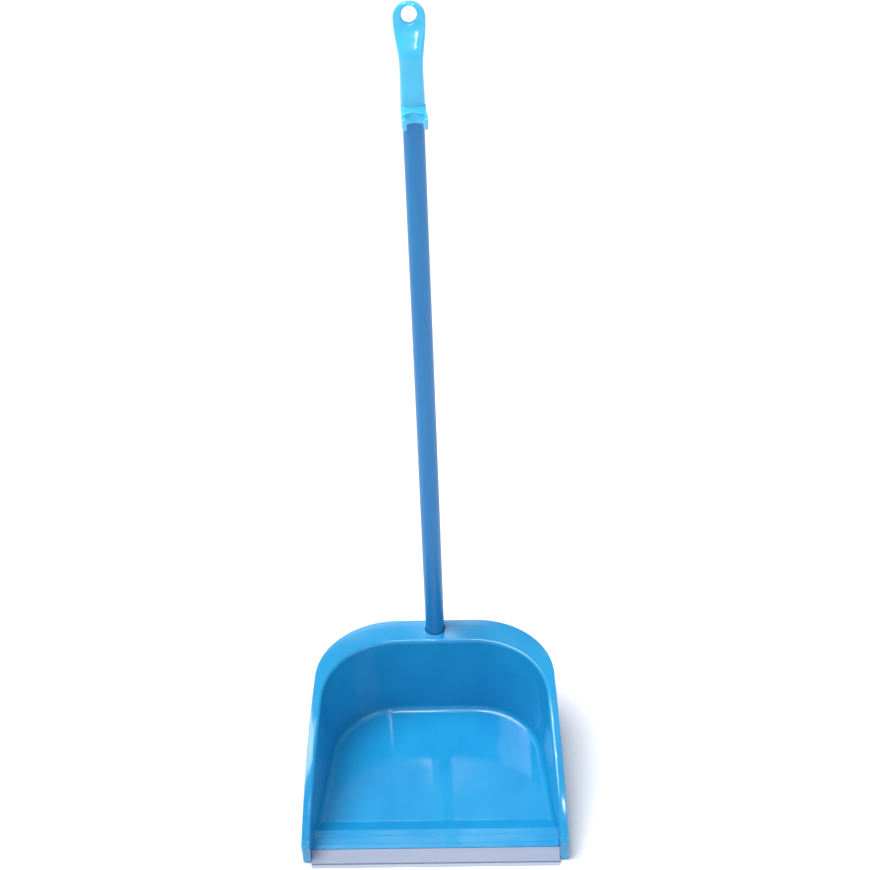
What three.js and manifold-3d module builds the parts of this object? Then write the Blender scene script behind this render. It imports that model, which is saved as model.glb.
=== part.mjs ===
// Long-handled dustpan: a scoop with a sloping rim, a clip-on lip with a soft wiper blade,
// and a round handle that stands in a socket behind the rear wall and carries a grip with
// a hanging hole and an open clip for a broom stick.
//
// Millimetres. +Z is up, +Y runs from the lip to the rear wall, +X is to the right.
// The origin is the middle of the scoop's underside, on the floor.

import * as THREE from 'three';
import { mergeVertices } from 'three/addons/utils/BufferGeometryUtils.js';
import Module from 'manifold-3d';

const wasm = await Module();
wasm.setup();
const { Manifold } = wasm;

// ---------------------------------------------------------------- driving dimensions

// Scoop, seen from above. Depths are counted back from the tip of the wiper blade.
const scoopDepth = 278.5;
const rimHalfFront = 147.2;
const rimHalfBack = 139.2;
const rimCorner = 93;
const rimWidthFront = 7.7;
const rimWidthSide = 9;
const rimWidthRear = 36;
const wallCorner = 88;
const draftFront = 1.5;
const draftSide = 5.7;
const draftRear = 10.5;
const floorCorner = 82;
const cheekSetback = 7.5;

// Scoop, seen from the side.
const rimHeight = 110;
const frontHeight = 30;
const levelRim = 48.5;
const floorTop = 6;
const floorThickness = 2.2;
const wallThickness = 2.2;
const floorFillet = 7;
const flangeThickness = 2.2;
const skirtThickness = 1.8;
const skirtDrop = 7;
const cheekBottom = 2;
const cheekThickness = 3.2;
const cheekRise = 18;

// Ramp, tongue and ribs.
const rampFoot = 59;
const crestBack = 42.5;
const crestHeight = 12.5;
const tongueThickness = 1.7;
const plateOverlap = 4;
const ribThickness = 2;
const footRibDepth = 21.5;
const ringInset = 9;
const sideRibs = [-84, -42, 42, 84];
const crossRibs = [85, 190];
const gatePadRadius = 14;
const gussetDepths = [70, 115, 160];
const gussetDrop = 16;
const webOffsets = [-7, 7];

// Lip channel and wiper blade.
const lipBackDepth = 18.8;
const lipBackHeight = 8.8;
const lipFrontDepth = 2.9;
const lipFrontHeight = 4;
const upperLegThickness = 1.2;
const lowerLegThickness = 1;
const lowerLegLength = 8;
const noseLength = 6.6;
const beadRadius = 1.2;
const beadFromFront = 3.8;
const bladeThickness = 1;
const bladeTipThickness = 0.5;
const bladeTipHeight = 0.4;

// Handle.
const tubeDiameter = 22;
const tubeWall = 0.6;
const sleeveWall = 0.4;
const handleLean = 5.7;
const holeFromRimEdge = 14.4;
const rimHoleDepth = 6;
const plugHeight = 4.5;
const tubeShown = 637;
const plugFlange = 2.5;
const plugStemLength = 16;
const plugStemWall = 2;
const socketWall = 2.2;

// Grip.
const gripLength = 115.5;
const gripTurn = 5;
const gripSideWall = 1.3;
const gripFrontWall = 1.7;
const gripCorner = 9;
const neckHeight = 51;
const neckInset = 0.8;
const gripSocketDepth = 62;
const paddleRadius = 16;
const paddleThickness = 8;
const paddleSetback = 2;
const bladeStart = 88;
const hangHoleDiameter = 15.2;
const hangHoleFromTop = 12;
const clipBore = 20;
const clipWall = 3.2;
const clipHeight = 11.4;
const clipStandoff = 4;
const clipMouthInset = 1.2;
const clipTipRadius = 2;

// Clearances between pieces.
const skinGap = 0.3;
const socketGap = 0.3;
const lipGap = 0.3;
const lipEndGap = 0.5;
const lipEndInset = 0.6;
const rimHoleClearance = 0.8;
const beadGap = 0.25;

// Roundness.
const cornerSteps = 12;
const rimSteps = 22;
const filletSteps = 4;
const tubeSides = 40;

// ---------------------------------------------------------------- worked out from them

const depthToY = (depth) => depth - scoopDepth / 2;
const frontY = depthToY(0);
const backY = depthToY(scoopDepth);
const cheekY = depthToY(cheekSetback);
const levelY = backY - levelRim;
const overrun = 40;
const slopeRun = levelY - cheekY;
const slopeDrop = rimHeight - frontHeight;
const rimArcRadius = (slopeRun ** 2 + slopeDrop ** 2) / (2 * slopeDrop);

const tubeRadius = tubeDiameter / 2;
const steelRadius = tubeRadius - sleeveWall - skinGap;
const socketRadius = tubeRadius + socketGap;
const rimHoleRadius = socketRadius + rimHoleClearance;
const holeY = backY - holeFromRimEdge;
const lean = THREE.MathUtils.degToRad(handleLean);
const insertDepth = (rimHeight - plugHeight) / Math.cos(lean) - plugFlange;
const socketFloor = insertDepth + plugFlange + socketGap;
const gripWidth = 2 * (socketRadius + gripSideWall);
const gripDepth = 2 * (socketRadius + gripFrontWall);
const clipMouth = clipBore - 2 * clipMouthInset;

const lipBack = new THREE.Vector2(depthToY(lipBackDepth), lipBackHeight);
const lipFront = new THREE.Vector2(depthToY(lipFrontDepth), lipFrontHeight);
const lipRun = lipBack.clone().sub(lipFront);
const lipWidth = lipRun.length();
const lipAngle = lipRun.angle();
const tongueTop = upperLegThickness + lipGap;
const tongueBottom = tongueTop + tongueThickness;
const slotBottom = tongueBottom + lipGap;
const lipHeight = slotBottom + lowerLegThickness;
const beadDepth = (upperLegThickness + slotBottom) / 2;

// Plan outlines of the rim's outer edge, and of the wall's inner face at the rim's height
// and at the floor.
const rimLine = { front: rimHalfFront, side: rimHalfBack, back: backY, corner: rimCorner };
const wallLine = {
  front: rimLine.front - rimWidthFront,
  side: rimLine.side - rimWidthSide,
  back: rimLine.back - rimWidthRear,
  corner: wallCorner,
};
const floorLine = {
  front: wallLine.front - draftFront,
  side: wallLine.side - draftSide,
  back: wallLine.back - draftRear,
  corner: floorCorner,
};
const lipLength = 2 * (floorLine.front - lipEndInset);
const lipZoneHalf = lipLength / 2 + lipEndGap;

// ---------------------------------------------------------------- solids and transforms

/** Turns a closed geometry into a solid that can be joined and cut. */
function solid(geometry) {
  const bare = geometry.index ? geometry.toNonIndexed() : geometry.clone();
  bare.deleteAttribute('normal');
  bare.deleteAttribute('uv');
  const merged = mergeVertices(bare, 1e-4);
  return new Manifold(new wasm.Mesh({
    numProp: 3,
    vertProperties: new Float32Array(merged.attributes.position.array),
    triVerts: new Uint32Array(merged.index.array),
  }));
}

/** Joins a list of solids. */
function join(solids) {
  return solids.reduce((whole, piece) => whole.add(piece));
}

/** Makes a named mesh of a solid, with its own material. */
function meshOf(name, shape, finish) {
  const { vertProperties, triVerts } = shape.getMesh();
  const geometry = new THREE.BufferGeometry();
  geometry.setAttribute('position', new THREE.BufferAttribute(vertProperties, 3));
  geometry.setIndex(new THREE.BufferAttribute(triVerts, 1));
  geometry.computeVertexNormals();
  const mesh = new THREE.Mesh(geometry, new THREE.MeshStandardMaterial(finish));
  mesh.name = name;
  return mesh;
}

/** A box between two corners. */
function boxBetween(low, high) {
  const size = high.map((value, axis) => value - low[axis]);
  const middle = high.map((value, axis) => (value + low[axis]) / 2);
  return solid(new THREE.BoxGeometry(...size).translate(...middle));
}

/** An upright cylinder from bottom to top, on the Z axis. */
function uprightCylinder(radius, bottom, top) {
  const geometry = new THREE.CylinderGeometry(radius, radius, top - bottom, tubeSides);
  return solid(geometry.rotateX(Math.PI / 2).translate(0, 0, (bottom + top) / 2));
}

/** A ring about the Z axis with square edges. */
function ring(outer, inner, bottom, top) {
  const profile = [[inner, bottom], [outer, bottom], [outer, top], [inner, top], [inner, bottom]];
  const points = profile.map(([radius, height]) => new THREE.Vector2(radius, height));
  return solid(new THREE.LatheGeometry(points, tubeSides).rotateX(Math.PI / 2));
}

/** A profile in the Y-Z plane, drawn out along X and centred on X = 0. */
function drawnAlongX(points, length) {
  const options = { depth: length, bevelEnabled: false };
  const geometry = new THREE.ExtrudeGeometry(new THREE.Shape(points), options);
  const turn = new THREE.Matrix4().makeBasis(
    new THREE.Vector3(0, 1, 0), new THREE.Vector3(0, 0, 1), new THREE.Vector3(1, 0, 0));
  return solid(geometry.applyMatrix4(turn).translate(-length / 2, 0, 0));
}

/** A profile in the X-Z plane, drawn out along Y from near to far. */
function drawnAlongY(points, near, far) {
  const options = { depth: far - near, bevelEnabled: false, curveSegments: cornerSteps };
  const geometry = new THREE.ExtrudeGeometry(new THREE.Shape(points), options);
  return solid(geometry.rotateX(Math.PI / 2).translate(0, far, 0));
}

/** The matrix that stands a piece, made along Z, in the rim's hole on the handle's lean. */
function handlePlace() {
  return new THREE.Matrix4().makeRotationX(-lean).setPosition(0, holeY, rimHeight);
}

/** Moves a solid by a matrix. */
function placed(shape, matrix) {
  return shape.transform(matrix.elements);
}

// ---------------------------------------------------------------- outlines of the scoop

/** Half-width of an outline at a place along the scoop's straight side. */
function sideHalf(line, y) {
  const cornerY = line.back - line.corner;
  return THREE.MathUtils.mapLinear(y, cheekY, cornerY, line.front, line.side);
}

/** A plan outline, counter-clockwise, with round rear corners, grown outwards by grow. */
function outline(line, grow = 0, startY = cheekY) {
  const corner = line.corner + grow;
  const centreX = line.side - line.corner;
  const centreY = line.back - line.corner;
  const right = [new THREE.Vector2(sideHalf(line, startY) + grow, startY)];
  for (let step = 0; step <= cornerSteps; step += 1) {
    const angle = (step / cornerSteps) * (Math.PI / 2);
    right.push(new THREE.Vector2(
      centreX + corner * Math.cos(angle), centreY + corner * Math.sin(angle)));
  }
  const left = right.map((point) => new THREE.Vector2(-point.x, point.y)).reverse();
  return [...right, ...left];
}

/** A solid through outlines of equal point count, each at its own height. */
function loft(levels) {
  const base = levels[0].points;
  const steps = levels.length - 1;
  const options = { depth: steps, steps, bevelEnabled: false };
  const geometry = new THREE.ExtrudeGeometry(new THREE.Shape(base), options);
  const position = geometry.attributes.position;
  for (let index = 0; index < position.count; index += 1) {
    const level = levels[Math.round(position.getZ(index))];
    const here = new THREE.Vector2(position.getX(index), position.getY(index));
    const corner = base.findIndex((point) => point.distanceTo(here) < 1e-3);
    position.setXYZ(index, level.points[corner].x, level.points[corner].y, level.z);
  }
  return solid(geometry);
}

/** A straight-sided solid on a plan outline. */
function prism(points, bottom, top) {
  return loft([{ points, z: bottom }, { points, z: top }]);
}

/** The drafted tub on the floor and wall lines, with a round bottom edge. */
function tub(grow, bottom, top, startY) {
  const radius = floorFillet + grow;
  const levels = [];
  for (let step = 0; step <= filletSteps; step += 1) {
    const angle = (step / filletSteps) * (Math.PI / 2);
    const inset = radius * (1 - Math.sin(angle));
    const points = outline(floorLine, grow - inset, startY);
    levels.push({ points, z: bottom + radius * (1 - Math.cos(angle)) });
  }
  levels.push({ points: outline(wallLine, grow, startY), z: rimHeight });
  if (top > rimHeight) levels.push({ points: outline(wallLine, grow, startY), z: top });
  return loft(levels);
}

/** The rim's side view: level at the rear, then one arc down to the front ends. */
function rimTop(y, drop = 0) {
  const centreZ = rimHeight - rimArcRadius;
  const radius = rimArcRadius - drop;
  if (y >= levelY) return rimHeight - drop;
  return centreZ + Math.sqrt(radius ** 2 - (levelY - y) ** 2);
}

/** The points of the rim's side view from the front to the rear, lowered by drop. */
function rimPoints(drop = 0) {
  const points = [];
  for (let step = 0; step <= rimSteps; step += 1) {
    const y = THREE.MathUtils.lerp(cheekY - 1, levelY, step / rimSteps);
    points.push(new THREE.Vector2(y, rimTop(y, drop)));
  }
  points.push(new THREE.Vector2(backY + 1, rimHeight - drop));
  return points;
}

/** Everything more than drop below the rim's side view, from startY to the rear. */
function belowRim(drop = 0, startY = cheekY - 1) {
  const above = rimPoints(drop).filter((point) => point.y > 0 && point.x > startY + 1e-3);
  const start = new THREE.Vector2(startY, rimTop(startY, drop));
  const floor = [new THREE.Vector2(backY + 1, -1), new THREE.Vector2(startY, -1)];
  return drawnAlongX([start, ...above, ...floor].reverse(), 2 * rimHalfFront + overrun);
}

/** A point of the lip, from how far back along it and how deep under its top face. */
function lipPoint(along, deep) {
  return new THREE.Vector2(along, -deep).rotateAround(new THREE.Vector2(), lipAngle).add(lipFront);
}

// ---------------------------------------------------------------- parts of the scoop

/** Floor and walls of the scoop, not yet hollowed. */
function walls() {
  const floorBottom = floorTop - floorThickness;
  return tub(wallThickness, floorBottom, rimHeight, cheekY).intersect(belowRim(flangeThickness / 2));
}

/** The flange round the rim, with its skirt and the closed front ends of the side walls. */
function rim() {
  const endY = cheekY + wallThickness;
  const block = prism(outline(rimLine), cheekBottom, rimHeight + 1).intersect(belowRim());
  const under = prism(outline(rimLine, -skirtThickness, endY), 0, rimHeight + 1);
  return block
    .subtract(under.intersect(belowRim(flangeThickness)))
    .subtract(belowRim(skirtDrop, endY));
}

/** Upright cheeks at the foot of the side walls, beside the ramp. */
function cheeks() {
  const startY = cheekY + wallThickness / 2;
  const low = [-rimHalfFront, startY, cheekBottom];
  const high = [rimHalfFront, depthToY(rampFoot) + floorFillet, floorTop + cheekRise];
  const inside = prism(outline(floorLine, lipGap, cheekY - 1), -1, rimHeight + 1);
  const outside = prism(outline(floorLine, cheekThickness), 0, rimHeight);
  return outside.subtract(inside).intersect(boxBetween(low, high));
}

/** Ramp from the floor up to the crest and down to the lip, with the tongue for the lip. */
function ramp() {
  const rebate = lipPoint(lipWidth + lipGap, 0);
  const top = [
    new THREE.Vector2(depthToY(rampFoot) + plateOverlap, floorTop),
    new THREE.Vector2(depthToY(rampFoot), floorTop),
    new THREE.Vector2(depthToY(crestBack), crestHeight),
    rebate,
  ];
  const tongue = [
    lipPoint(lipWidth + lipGap, tongueTop),
    lipPoint(noseLength + lipGap, tongueTop),
    lipPoint(noseLength + lipGap, tongueBottom),
  ];
  const under = [
    lipPoint(lipWidth + lipGap + wallThickness, tongueBottom),
    new THREE.Vector2(depthToY(crestBack), crestHeight - floorThickness),
    new THREE.Vector2(depthToY(rampFoot), floorTop - floorThickness),
    new THREE.Vector2(depthToY(rampFoot) + plateOverlap, floorTop - floorThickness),
  ];
  const plate = drawnAlongX([...top, ...tongue, ...under], 2 * rimHalfFront);
  return plate.intersect(prism(outline(floorLine, wallThickness / 2), -1, rimHeight));
}

/** The hollow under the ramp, which the floor plate stops short of. */
function underRamp() {
  const points = [
    new THREE.Vector2(frontY, -1),
    new THREE.Vector2(depthToY(rampFoot), -1),
    new THREE.Vector2(depthToY(rampFoot), floorTop - floorThickness),
    new THREE.Vector2(depthToY(crestBack), crestHeight - floorThickness),
    new THREE.Vector2(frontY, crestHeight - floorThickness),
  ];
  return drawnAlongX(points, 2 * lipZoneHalf);
}

/** Ribs on the underside that carry the scoop, and the pad in the middle that it rests on. */
function feet() {
  const top = floorTop - floorThickness / 2;
  const half = ribThickness / 2;
  const footY = depthToY(footRibDepth);
  const outer = prism(outline(floorLine, -ringInset, footY), -2, top);
  const inner = prism(outline(floorLine, -ringInset - ribThickness, footY + ribThickness), -3, top + 1);
  const room = prism(outline(floorLine, -ringInset - half, footY + half), -2, top);
  const lengthwise = sideRibs.map((x) => boxBetween([x - half, footY, -1], [x + half, backY, top]));
  const crosswise = crossRibs.map((depth) => {
    const y = depthToY(depth);
    return boxBetween([-rimHalfFront, y - half, -1], [rimHalfFront, y + half, top]);
  });
  const grid = join([...lengthwise, ...crosswise]).intersect(room);
  const frontRib = boxBetween(
    [-lipZoneHalf + ringInset, footY, -1],
    [lipZoneHalf - ringInset, footY + ribThickness, lipBackHeight - wallThickness]);
  return join([outer.subtract(inner), grid, frontRib, uprightCylinder(gatePadRadius, -1, top)]);
}

/** Gussets between the side walls and the flange. */
function gussets() {
  const half = ribThickness / 2;
  const plates = gussetDepths.map((depth) => {
    const y = depthToY(depth);
    return boxBetween(
      [-rimHalfFront, y - half, rimTop(y) - gussetDrop],
      [rimHalfFront, y + half, rimTop(y) - flangeThickness / 2]);
  });
  const room = prism(outline(rimLine, -skirtThickness / 2), 0, rimHeight + 1);
  return join(plates).intersect(room).intersect(belowRim(flangeThickness / 2));
}

/** The handle's socket behind the rear wall, and the webs that tie it to the wall. */
function socketOutside() {
  const tower = placed(uprightCylinder(socketRadius + socketWall, -socketFloor - overrun, 0), handlePlace());
  const wallY = floorLine.back;
  const webTop = rimHeight - flangeThickness / 2;
  const half = ribThickness / 2;
  const webs = webOffsets.map((x) => boxBetween([x - half, wallY, -1], [x + half, holeY, webTop]));
  const room = prism(outline(rimLine, -skirtThickness / 2), -1, rimHeight - flangeThickness / 2);
  return join([tower, ...webs]).intersect(room);
}

/** The bore that the handle stands in, with the wider hole through the rim. */
function socketBore() {
  const bore = uprightCylinder(socketRadius, -socketFloor, overrun);
  const mouth = uprightCylinder(rimHoleRadius, -rimHoleDepth, overrun);
  return placed(bore.add(mouth), handlePlace());
}

/** The scoop: one moulding. */
function scoop() {
  const hollow = tub(0, floorTop, rimHeight + overrun, cheekY - overrun);
  const lipZone = boxBetween(
    [-lipZoneHalf, frontY - overrun, -1],
    [lipZoneHalf, lipPoint(lipWidth + lipGap, tongueTop).x, rimHeight]);
  const aboveGround = boxBetween([-scoopDepth, -scoopDepth, 0], [scoopDepth, scoopDepth, scoopDepth]);
  return join([walls(), rim(), gussets(), socketOutside()])
    .subtract(hollow)
    .subtract(underRamp())
    .add(cheeks())
    .subtract(lipZone)
    .add(ramp())
    .add(feet())
    .subtract(socketBore())
    .intersect(aboveGround);
}

// ---------------------------------------------------------------- lip

/** The stiff strip that clips over the tongue, with the slot that holds the wiper's bead. */
function lipChannel() {
  const body = drawnAlongX([
    lipPoint(0, upperLegThickness),
    lipPoint(0, 0),
    lipPoint(lipWidth, 0),
    lipPoint(lipWidth, upperLegThickness),
    lipPoint(noseLength, upperLegThickness),
    lipPoint(noseLength, slotBottom),
    lipPoint(noseLength + lowerLegLength, slotBottom),
    lipPoint(noseLength + lowerLegLength, lipHeight),
    lipPoint(beadFromFront - beadRadius, lipHeight),
    lipPoint(beadFromFront - beadRadius, slotBottom - beadGap),
    lipPoint(beadFromFront, upperLegThickness),
  ].reverse(), lipLength);
  const seat = beadCylinder(beadRadius + beadGap, lipLength + overrun);
  const mouth = drawnAlongX([
    lipPoint(-1, upperLegThickness),
    lipPoint(-1, slotBottom - beadGap),
    lipPoint(beadFromFront, slotBottom - beadGap),
    lipPoint(beadFromFront, upperLegThickness),
  ], lipLength + overrun);
  return body.subtract(seat).subtract(mouth);
}

/** A cylinder along the wiper's hinge line. */
function beadCylinder(radius, length) {
  const centre = lipPoint(beadFromFront, beadDepth);
  const geometry = new THREE.CylinderGeometry(radius, radius, length, 2 * cornerSteps);
  return solid(geometry.rotateZ(Math.PI / 2).translate(0, centre.x, centre.y));
}

/** The soft blade: a round bead and a tapering flap that reaches down to the floor. */
function wiperBlade() {
  const centre = lipPoint(beadFromFront, beadDepth);
  const tip = new THREE.Vector2(frontY, bladeTipHeight);
  const across = tip.clone().sub(centre).normalize().rotateAround(new THREE.Vector2(), Math.PI / 2);
  const side = (point, thickness) => point.clone().addScaledVector(across, thickness / 2);
  const flap = drawnAlongX([
    side(centre, bladeThickness),
    side(tip, bladeTipThickness),
    side(tip, -bladeTipThickness),
    side(centre, -bladeThickness),
  ], lipLength);
  return flap.add(beadCylinder(beadRadius, lipLength));
}

// ---------------------------------------------------------------- handle, made along Z

/** The thin steel tube. */
function steelTube() {
  return ring(steelRadius, steelRadius - tubeWall, -insertDepth, gripTop());
}

/** The plastic skin on the tube. */
function tubeSleeve() {
  return ring(tubeRadius, tubeRadius - sleeveWall, -insertDepth, gripTop());
}

/** The plug that closes the tube's lower end. */
function tubeEndPlug() {
  const stemRadius = steelRadius - tubeWall - skinGap;
  const stemTop = -insertDepth + plugStemLength;
  const flange = uprightCylinder(tubeRadius, -insertDepth - plugFlange, -insertDepth - skinGap);
  const stem = ring(stemRadius, stemRadius - plugStemWall, -insertDepth - plugFlange / 2, stemTop);
  return flange.add(stem);
}

/** How far up the handle the tube ends, inside the grip. */
function gripTop() {
  return tubeShown + gripSocketDepth - socketGap;
}

// ---------------------------------------------------------------- grip, made along Z

/** The grip's front view: straight sides, a neck, and a round paddle. */
function gripFront() {
  const shape = new THREE.Shape();
  const half = gripWidth / 2;
  const neck = half - neckInset;
  const paddleZ = gripLength - paddleRadius;
  const swell = (paddleZ - neckHeight) / 2;
  shape.moveTo(-half, 0);
  shape.lineTo(half, 0);
  shape.bezierCurveTo(half, neckHeight / 2, neck, neckHeight - swell / 2, neck, neckHeight);
  shape.bezierCurveTo(neck, neckHeight + swell, paddleRadius, paddleZ - swell, paddleRadius, paddleZ);
  shape.absarc(0, paddleZ, paddleRadius, 0, Math.PI, false);
  shape.bezierCurveTo(-paddleRadius, paddleZ - swell, -neck, neckHeight + swell, -neck, neckHeight);
  shape.bezierCurveTo(-neck, neckHeight - swell / 2, -half, neckHeight / 2, -half, 0);
  return shape.getPoints(cornerSteps);
}

/** The grip's side view: full depth around the tube, thinning to the paddle. */
function gripSide() {
  const front = -gripDepth / 2;
  const rear = gripDepth / 2;
  const paddleFront = paddleSetback - paddleThickness / 2;
  const paddleRear = paddleSetback + paddleThickness / 2;
  const shape = new THREE.Shape();
  const bend = (gripLength - gripSocketDepth) / 3;
  shape.moveTo(front, 0);
  shape.lineTo(rear, 0);
  shape.lineTo(rear, gripSocketDepth);
  shape.bezierCurveTo(rear, gripSocketDepth + bend, paddleRear, bladeStart - bend / 2, paddleRear, bladeStart);
  shape.lineTo(paddleRear, gripLength);
  shape.lineTo(paddleFront, gripLength);
  shape.lineTo(paddleFront, bladeStart + bend / 2);
  shape.bezierCurveTo(paddleFront, bladeStart, front, gripSocketDepth + bend, front, gripSocketDepth);
  return shape.getPoints(cornerSteps);
}

/** A rounded column that takes the edges off the grip. */
function gripColumn() {
  const shape = new THREE.Shape();
  const halfX = paddleRadius;
  const halfY = gripDepth / 2;
  shape.moveTo(halfX, halfY - gripCorner);
  shape.absarc(halfX - gripCorner, halfY - gripCorner, gripCorner, 0, Math.PI / 2, false);
  shape.absarc(gripCorner - halfX, halfY - gripCorner, gripCorner, Math.PI / 2, Math.PI, false);
  shape.absarc(gripCorner - halfX, gripCorner - halfY, gripCorner, Math.PI, 1.5 * Math.PI, false);
  shape.absarc(halfX - gripCorner, gripCorner - halfY, gripCorner, 1.5 * Math.PI, 2 * Math.PI, false);
  const points = shape.getPoints(filletSteps);
  return prism(points.slice(0, -1), 0, gripLength + 1);
}

/** The rounded socket part around the tube. */
function gripBarrel() {
  const scale = gripWidth / (2 * paddleRadius);
  return placed(gripColumn(), new THREE.Matrix4().makeScale(scale, 1, 1));
}

/** The broom clip: an open ring on two short arms, in front of the socket. */
function clipBody() {
  const centreY = clipCentre();
  const outerRadius = clipBore / 2 + clipWall;
  const mouthHalf = clipMouth / 2;
  const armEnd = centreY - clipBore / 2;
  const collar = uprightCylinder(outerRadius, 0, clipHeight).translate(0, centreY, 0);
  const neck = boxBetween([-gripWidth / 2, centreY, 0], [gripWidth / 2, 0, clipHeight]);
  const shoulder = drawnAlongX([
    new THREE.Vector2(-gripDepth / 2 - clipStandoff, clipHeight),
    new THREE.Vector2(-gripDepth / 2 + 1, clipHeight),
    new THREE.Vector2(-gripDepth / 2 + 1, clipHeight + clipStandoff),
    new THREE.Vector2(-gripDepth / 2, clipHeight + clipStandoff),
  ], gripWidth - 2 * clipWall);
  const mouth = boxBetween(
    [-mouthHalf, armEnd - overrun, -1], [mouthHalf, centreY, clipHeight + 1]);
  const bore = uprightCylinder(clipBore / 2, -1, clipHeight + 1).translate(0, centreY, 0);
  const armX = mouthHalf + clipTipRadius;
  const tips = [-armX, armX].map((x) => (
    uprightCylinder(clipTipRadius, 0, clipHeight).translate(x, armEnd + clipTipRadius / 2, 0)));
  return join([collar, neck, shoulder]).subtract(bore).subtract(mouth).add(join(tips));
}

/** The clip's centre line, in front of the handle's. */
function clipCentre() {
  return -(gripDepth / 2 + clipStandoff + clipBore / 2);
}

/** The grip: one moulding. */
function grip() {
  const silhouette = drawnAlongY(gripFront(), -gripDepth, gripDepth);
  const sideView = drawnAlongX(gripSide(), 3 * paddleRadius);
  const upper = silhouette.intersect(sideView);
  const split = gripSocketDepth + clipHeight / 2;
  const low = boxBetween([-gripDepth, -gripDepth, -1], [gripDepth, gripDepth, split]);
  const high = boxBetween([-gripDepth, -gripDepth, split], [gripDepth, gripDepth, gripLength + 1]);
  const barrel = upper.intersect(gripBarrel()).intersect(low);
  const paddle = upper.intersect(gripColumn()).intersect(high);
  const holeZ = gripLength - hangHoleFromTop;
  const hole = uprightCylinder(hangHoleDiameter / 2, -gripDepth, gripDepth);
  const acrossHole = new THREE.Matrix4().makeRotationX(Math.PI / 2).setPosition(0, 0, holeZ);
  const bore = uprightCylinder(socketRadius, -1, gripSocketDepth);
  return join([barrel, paddle, clipBody()])
    .subtract(placed(hole, acrossHole))
    .subtract(bore);
}

// ---------------------------------------------------------------- assembly

const scoopBlue = { color: 0x2ea3e6, roughness: 0.28, metalness: 0 };
const gripBlue = { color: 0x45bdf2, roughness: 0.28, metalness: 0 };
const tubeBlue = { color: 0x2f86cf, roughness: 0.45, metalness: 0 };
const lipGrey = { color: 0xb0bedc, roughness: 0.55, metalness: 0 };
const wiperGrey = { color: 0xc8d6f5, roughness: 0.6, metalness: 0 };
const bareSteel = { color: 0x9a9da0, roughness: 0.4, metalness: 1 };
const plugGrey = { color: 0x3a3d42, roughness: 0.6, metalness: 0 };

const handleGroup = new THREE.Group();
handleGroup.applyMatrix4(handlePlace());
handleGroup.add(
  meshOf('steel_tube', steelTube(), bareSteel),
  meshOf('tube_sleeve', tubeSleeve(), tubeBlue),
  meshOf('tube_end_plug', tubeEndPlug(), plugGrey),
);

const gripGroup = new THREE.Group();
gripGroup.position.z = tubeShown;
gripGroup.rotation.z = THREE.MathUtils.degToRad(gripTurn);
gripGroup.add(meshOf('grip', grip(), gripBlue));
handleGroup.add(gripGroup);

const dustpan = new THREE.Group();
dustpan.add(
  meshOf('pan', scoop(), scoopBlue),
  meshOf('lip_channel', lipChannel(), lipGrey),
  meshOf('wiper_blade', wiperBlade(), wiperGrey),
  handleGroup,
);

export default dustpan;
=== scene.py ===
"""Visual model of a long-handled dustpan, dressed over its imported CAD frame.

A blue moulded scoop with a sloping rim, a clip-on grey lip with a soft wiper, a sleeved
tube that stands in a socket behind the scoop, and a grip with a hanging hole and an open
broom clip. Sizes are in millimetres in the part's own frame and become metres on the mesh.
The studio's own sizes are in metres.
"""

import logging
import math
from contextlib import contextmanager
from dataclasses import dataclass, field
from enum import Enum
from typing import Callable, Iterator, Sequence

import bpy
from mathutils import Matrix, Vector


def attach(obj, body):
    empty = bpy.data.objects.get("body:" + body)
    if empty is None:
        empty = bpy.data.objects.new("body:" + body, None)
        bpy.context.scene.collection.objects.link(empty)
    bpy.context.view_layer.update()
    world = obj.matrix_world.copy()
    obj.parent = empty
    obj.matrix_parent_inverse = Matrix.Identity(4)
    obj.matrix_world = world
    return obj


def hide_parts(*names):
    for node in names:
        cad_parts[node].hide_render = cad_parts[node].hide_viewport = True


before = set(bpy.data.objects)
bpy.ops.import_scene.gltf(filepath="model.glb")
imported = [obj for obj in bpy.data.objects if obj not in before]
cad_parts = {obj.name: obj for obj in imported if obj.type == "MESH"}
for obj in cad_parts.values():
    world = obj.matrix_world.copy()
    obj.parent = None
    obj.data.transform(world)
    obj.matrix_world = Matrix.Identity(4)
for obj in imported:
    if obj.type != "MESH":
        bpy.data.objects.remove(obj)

LOG = logging.getLogger("dustpan")
FULL_TURN = 2.0 * math.pi
QUARTER_TURN = math.pi / 2.0
ROUND_SIDES = 96

# A millimetre, and how close corners are merged, in metres.
MM = 0.001
WELD = 2e-6

# How far from a line or plane, in mm, a corner still counts as on it.
NEAR = 0.1


# ------------------------------------------------------------------ small tools


class Solid(Enum):
    """How one solid works on another."""

    CUT = "DIFFERENCE"
    JOIN = "UNION"


def mix(low: float, high: float, share: float) -> float:
    """Return the value a share of the way from low to high."""
    return low + (high - low) * share


def eased(share: float) -> float:
    """Return a share held to 0..1 with soft ends."""
    held = min(max(share, 0.0), 1.0)
    return held * held * (3.0 - 2.0 * held)


def colour(code: str) -> tuple[float, float, float, float]:
    """Turn a display colour into linear light.

    Args:
        code: Six hexadecimal digits, red first.

    Returns:
        Linear red, green and blue, with a full alpha.
    """
    parts = [int(code[i : i + 2], 16) / 255.0 for i in (0, 2, 4)]
    linear = [p / 12.92 if p <= 0.04045 else ((p + 0.055) / 1.055) ** 2.4 for p in parts]
    return (linear[0], linear[1], linear[2], 1.0)


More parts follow.
